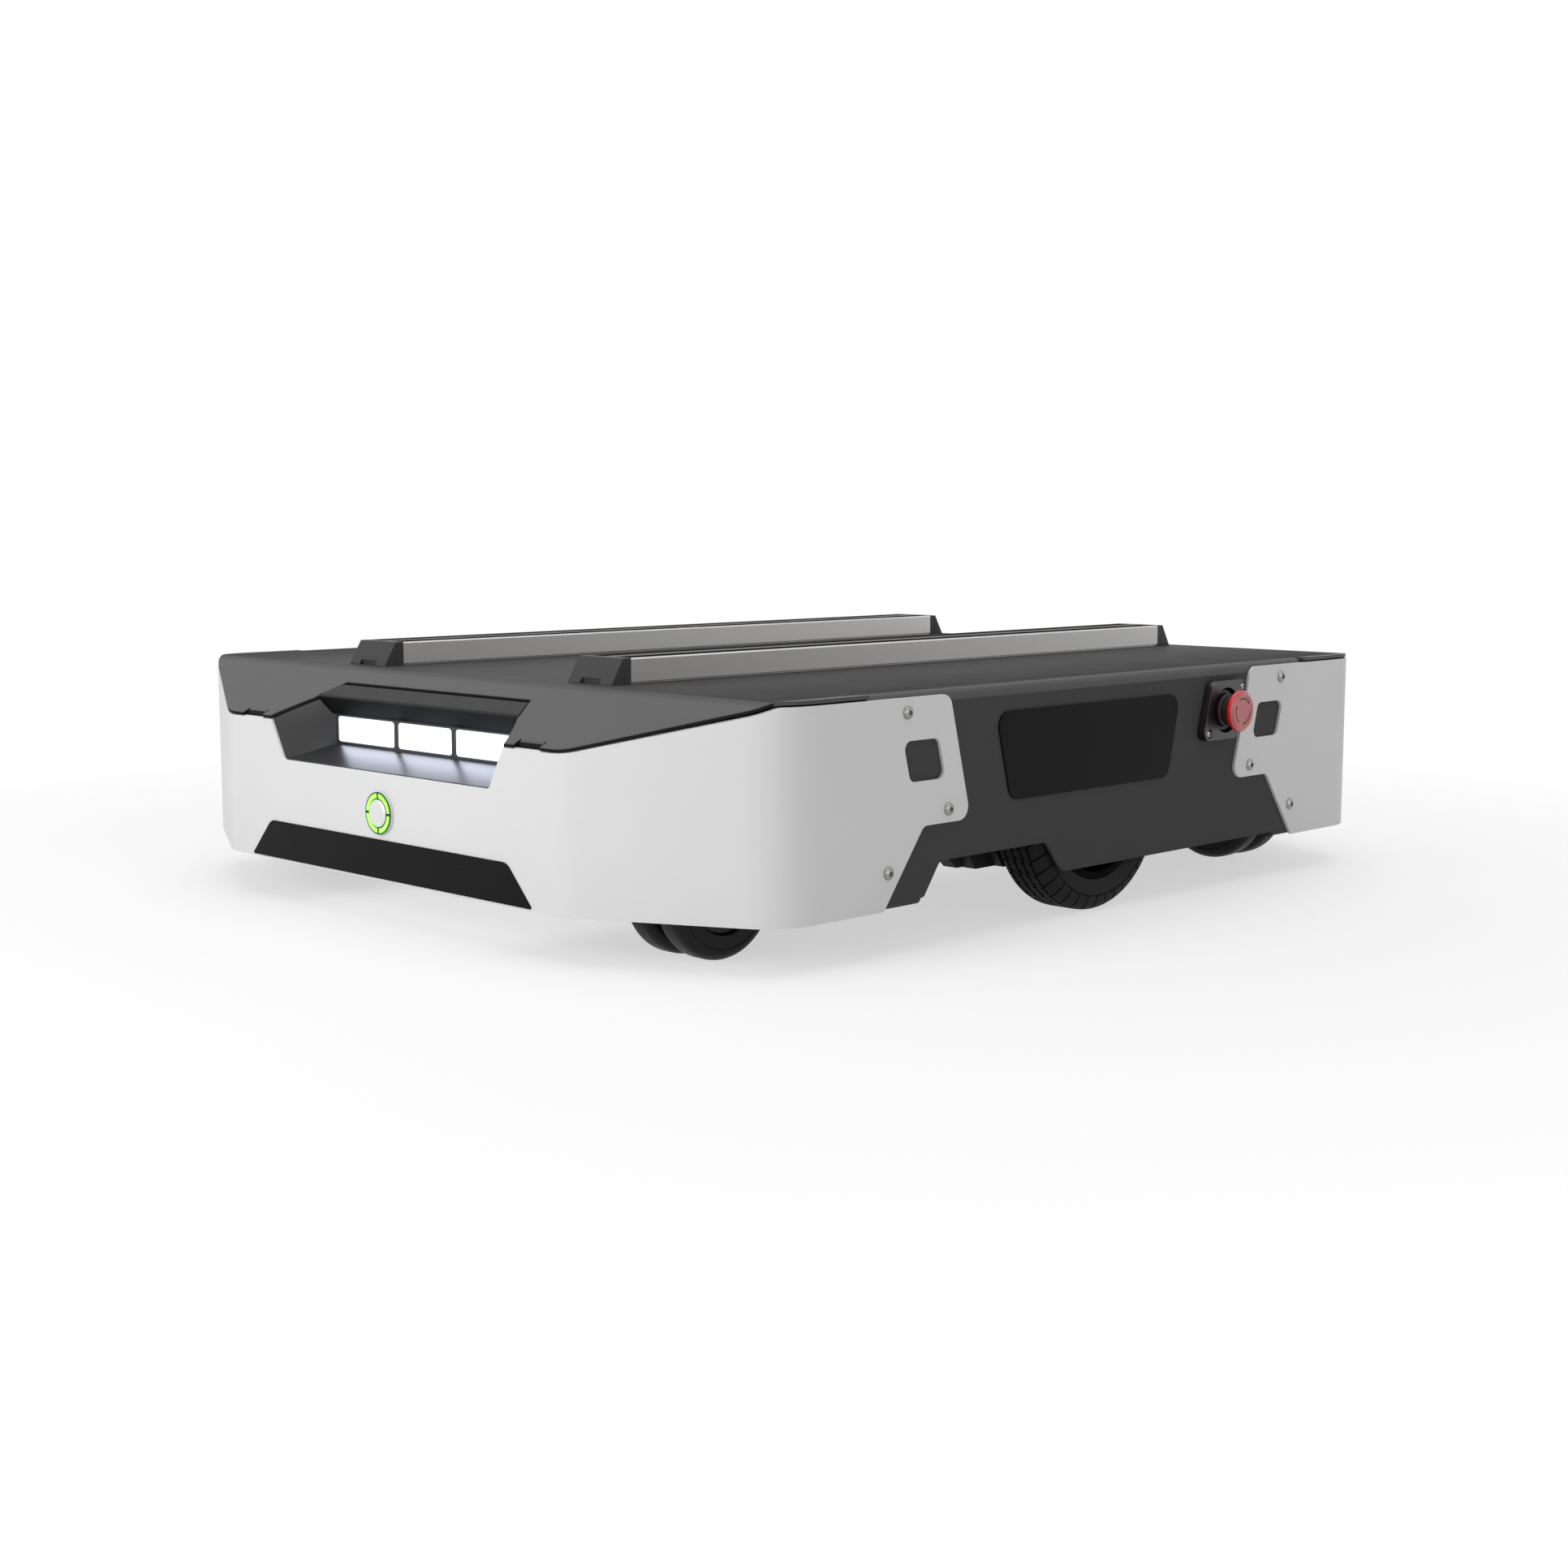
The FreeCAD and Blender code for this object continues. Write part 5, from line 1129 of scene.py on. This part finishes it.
button_heads.close(
    button_heads.node(
        "GeometryNodeInstanceOnPoints",
        sockets={
            "Points": button_heads.entered("Geometry"),
            "Instance": Flow(button_heads, whole.outputs[0]),
            "Rotation": upright,
        },
    )
)
screw_steel = plated_metal("screw_steel", (0.3, 0.297, 0.29), 0.18)


def screw_set(name, seats, sizes):
    """Screws at seats of (place, facing), all of one size."""
    seat_mesh = bpy.data.meshes.new(name + "_seats")
    seat_mesh.from_pydata([place for place, way in seats], [], [])
    ways = seat_mesh.attributes.new("facing", "FLOAT_VECTOR", "POINT")
    for item, (place, way) in zip(ways.data, seats):
        item.vector = way
    mesh = button_heads.grow(name, seat_mesh, {**sizes, "Material": screw_steel.material})
    return shown(name, mesh, screw_steel, crease=32)


wing_seats = []
plate_seats = []
for sign in (1, -1):
    facing = (0.0, sign, 0.0)
    for x, z in WING_SCREWS:
        wing_seats += [((end * x, sign * WING_SEAT, z), facing) for end in (1, -1)]
    plate_seats += [((x, sign * PLATE_SEAT, z), facing) for x, z in PLATE_SCREWS]
seat(screw_set("wing_screws", wing_seats, WING_SIZES), "chassis", "button_head_screws")
plate_screws = screw_set("stop_plate_screws", plate_seats, PLATE_SIZES)
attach(plate_screws, "chassis")

# Payload rails: anodised aluminium extrusions with two T-slots each, fixed along the deck,
# and a moulded cap on every end. Their colour carries a painted reflection that runs from grey
# in front to pale at the rear, painted shade on their tops and in their slots, and a painted
# highlight on their upper chamfers.
RAIL_Y = 0.1139
SLOT_OFFSET = 0.010
SLOT_HALF = 0.0078
LAND_HEIGHT = 0.16545
LAND_HALF = 0.0051
CHAMFER_START = 0.0191
CHAMFER_FOOT = 0.1646
RAIL_HALF_LENGTH = 0.264
anodised = Finish("rail_anodised", {"Specular IOR Level": 0.15})
drawn = anodised.noise(1.0, 4.0, anodised.stretched((2.5, 900.0, 900.0)))
painted_reflection_to_rear = (0.5 - anodised.along("X") / (2 * RAIL_HALF_LENGTH)).clipped()
off_middle = abs(abs(anodised.along("Y")) - RAIL_Y)
rail_height = anodised.along("Z")
on_top = (off_middle < CHAMFER_START) * (rail_height > LAND_HEIGHT)
painted_shade_on_land = (off_middle < LAND_HALF) * (rail_height > LAND_HEIGHT)
painted_shade_in_slot = (abs(off_middle - SLOT_OFFSET) < SLOT_HALF) * (rail_height < LAND_HEIGHT)
# Painted reflection: the rails' colour runs from grey in front to pale at the rear.
anodised.shade(painted_reflection_to_rear, (0.47, 0.46, 0.453), (1.0, 0.988, 0.975))
# Painted highlight: the upper chamfers of the rails are coloured pale.
anodised.lay((off_middle > CHAMFER_START) * (rail_height > CHAMFER_FOOT), (0.92, 0.92, 0.92))
# Painted shade: the rail tops are coloured near black, and the land between the slots dark grey.
anodised.lay(on_top, (0.03, 0.03, 0.03))
anodised.lay(painted_shade_on_land, (0.2, 0.197, 0.193))
# Painted shade: the insides of the T-slots are coloured near black.
anodised.lay(painted_shade_in_slot, (0.012, 0.012, 0.012))
anodised.give("Roughness", 0.3 + 0.16 * drawn + 0.5 * on_top)
anodised.emboss(drawn, 0.000004)
cap_plastic = Finish("cap_moulding", {"Specular IOR Level": 0.4})
spark = cap_plastic.noise(1500.0, 2.0)
cap_plastic.shade(spark, (0.018, 0.018, 0.0185), (0.026, 0.026, 0.0265))
cap_plastic.give("Roughness", 0.46 + 0.12 * spark)
cap_plastic.emboss(spark, 0.00002)
eased("left_rail", anodised, 0.00035)
eased("right_rail", anodised, 0.00035)
eased("rail_end_caps", cap_plastic)

# Studio: a pale floor that fades into a white room, a broad lamp overhead and softer ones
# in front, beside and behind the base. Camera, mirror and glass rays see the room as white.
FLOOR_HALF = 9.0
FADE_START = 0.32
FADE_LENGTH = 0.55
FLOOR_GLOW = 0.58
ROOM_LEVEL = 0.29


def looked_at(web):
    """1 for the rays that show the room itself: from the camera, a mirror or glass."""
    path = web.tree.nodes.new("ShaderNodeLightPath")
    kinds = ("Is Camera Ray", "Is Glossy Ray", "Is Transmission Ray")
    camera, mirror, glass = (Flow(web, path.outputs[kind]) for kind in kinds)
    return (camera + mirror + glass).clipped()


floor_shape = bmesh.new()
bmesh.ops.create_grid(floor_shape, x_segments=2, y_segments=2, size=FLOOR_HALF)
floor = placed("studio_floor", mesh_of(floor_shape, "studio_floor"))
paper_look = {"Base Color": tone(0.9, 0.9, 0.9), "Roughness": 0.9, "Specular IOR Level": 0.1}
paper = Finish("studio_paper", paper_look)
away = paper.node("ShaderNodeVectorMath", {"operation": "LENGTH"}, {0: paper.here}, output="Value")
fade = ((away - FADE_START) / FADE_LENGTH).clipped()
white = paper.node("ShaderNodeEmission", sockets={"Color": tone(1.0, 1.0, 1.0), "Strength": 1.0})
blend = paper.tree.nodes.new("ShaderNodeMixShader")
paper.feed(blend.inputs[0], looked_at(paper) * (FLOOR_GLOW + (1.0 - FLOOR_GLOW) * fade))
paper.tree.links.new(paper.shader.outputs[0], blend.inputs[1])
paper.feed(blend.inputs[2], white)
paper.tree.links.new(blend.outputs[0], paper.tree.nodes["Material Output"].inputs["Surface"])
dress(floor.data, paper)

room = bpy.data.worlds.new("white_room")
room.use_nodes = True
bpy.context.scene.world = room
walls = Web(room.node_tree)
sky = room.node_tree.nodes["Background"]
walls.feed(sky.inputs["Color"], tone(1.0, 1.0, 1.0))
walls.feed(sky.inputs["Strength"], ROOM_LEVEL + (1.0 - ROOM_LEVEL) * looked_at(walls))


def lamp(name, place, target, width, depth, watts, sheen=True):
    """A soft box that looks at its target. Without sheen it lights but isn't mirrored."""
    data = bpy.data.lights.new(name, "AREA")
    data.shape = "RECTANGLE"
    data.size = width
    data.size_y = depth
    data.energy = watts
    made = placed(name, data)
    made.location = place
    made.visible_camera = False
    made.visible_glossy = sheen
    way = Vector(target) - Vector(place)
    made.rotation_euler = way.to_track_quat("-Z", "Y").to_euler()


lamp("overhead_lamp", (0.1, 0.0, 2.6), (0.0, 0.0, 0.0), 3.0, 3.0, 36.0)
lamp("front_lamp", (1.25, 0.0, 0.45), (0.3, 0.0, 0.08), 0.9, 0.5, 5.6)
lamp("side_lamp", (0.2, 3.0, 0.9), (0.0, 0.0, 0.08), 2.4, 1.4, 12.0)
lamp("rear_lamp", (-1.9, -1.3, 0.8), (-0.1, 0.0, 0.08), 1.6, 0.9, 15.0, sheen=False)
bpy.context.scene.view_settings.view_transform = "Standard"
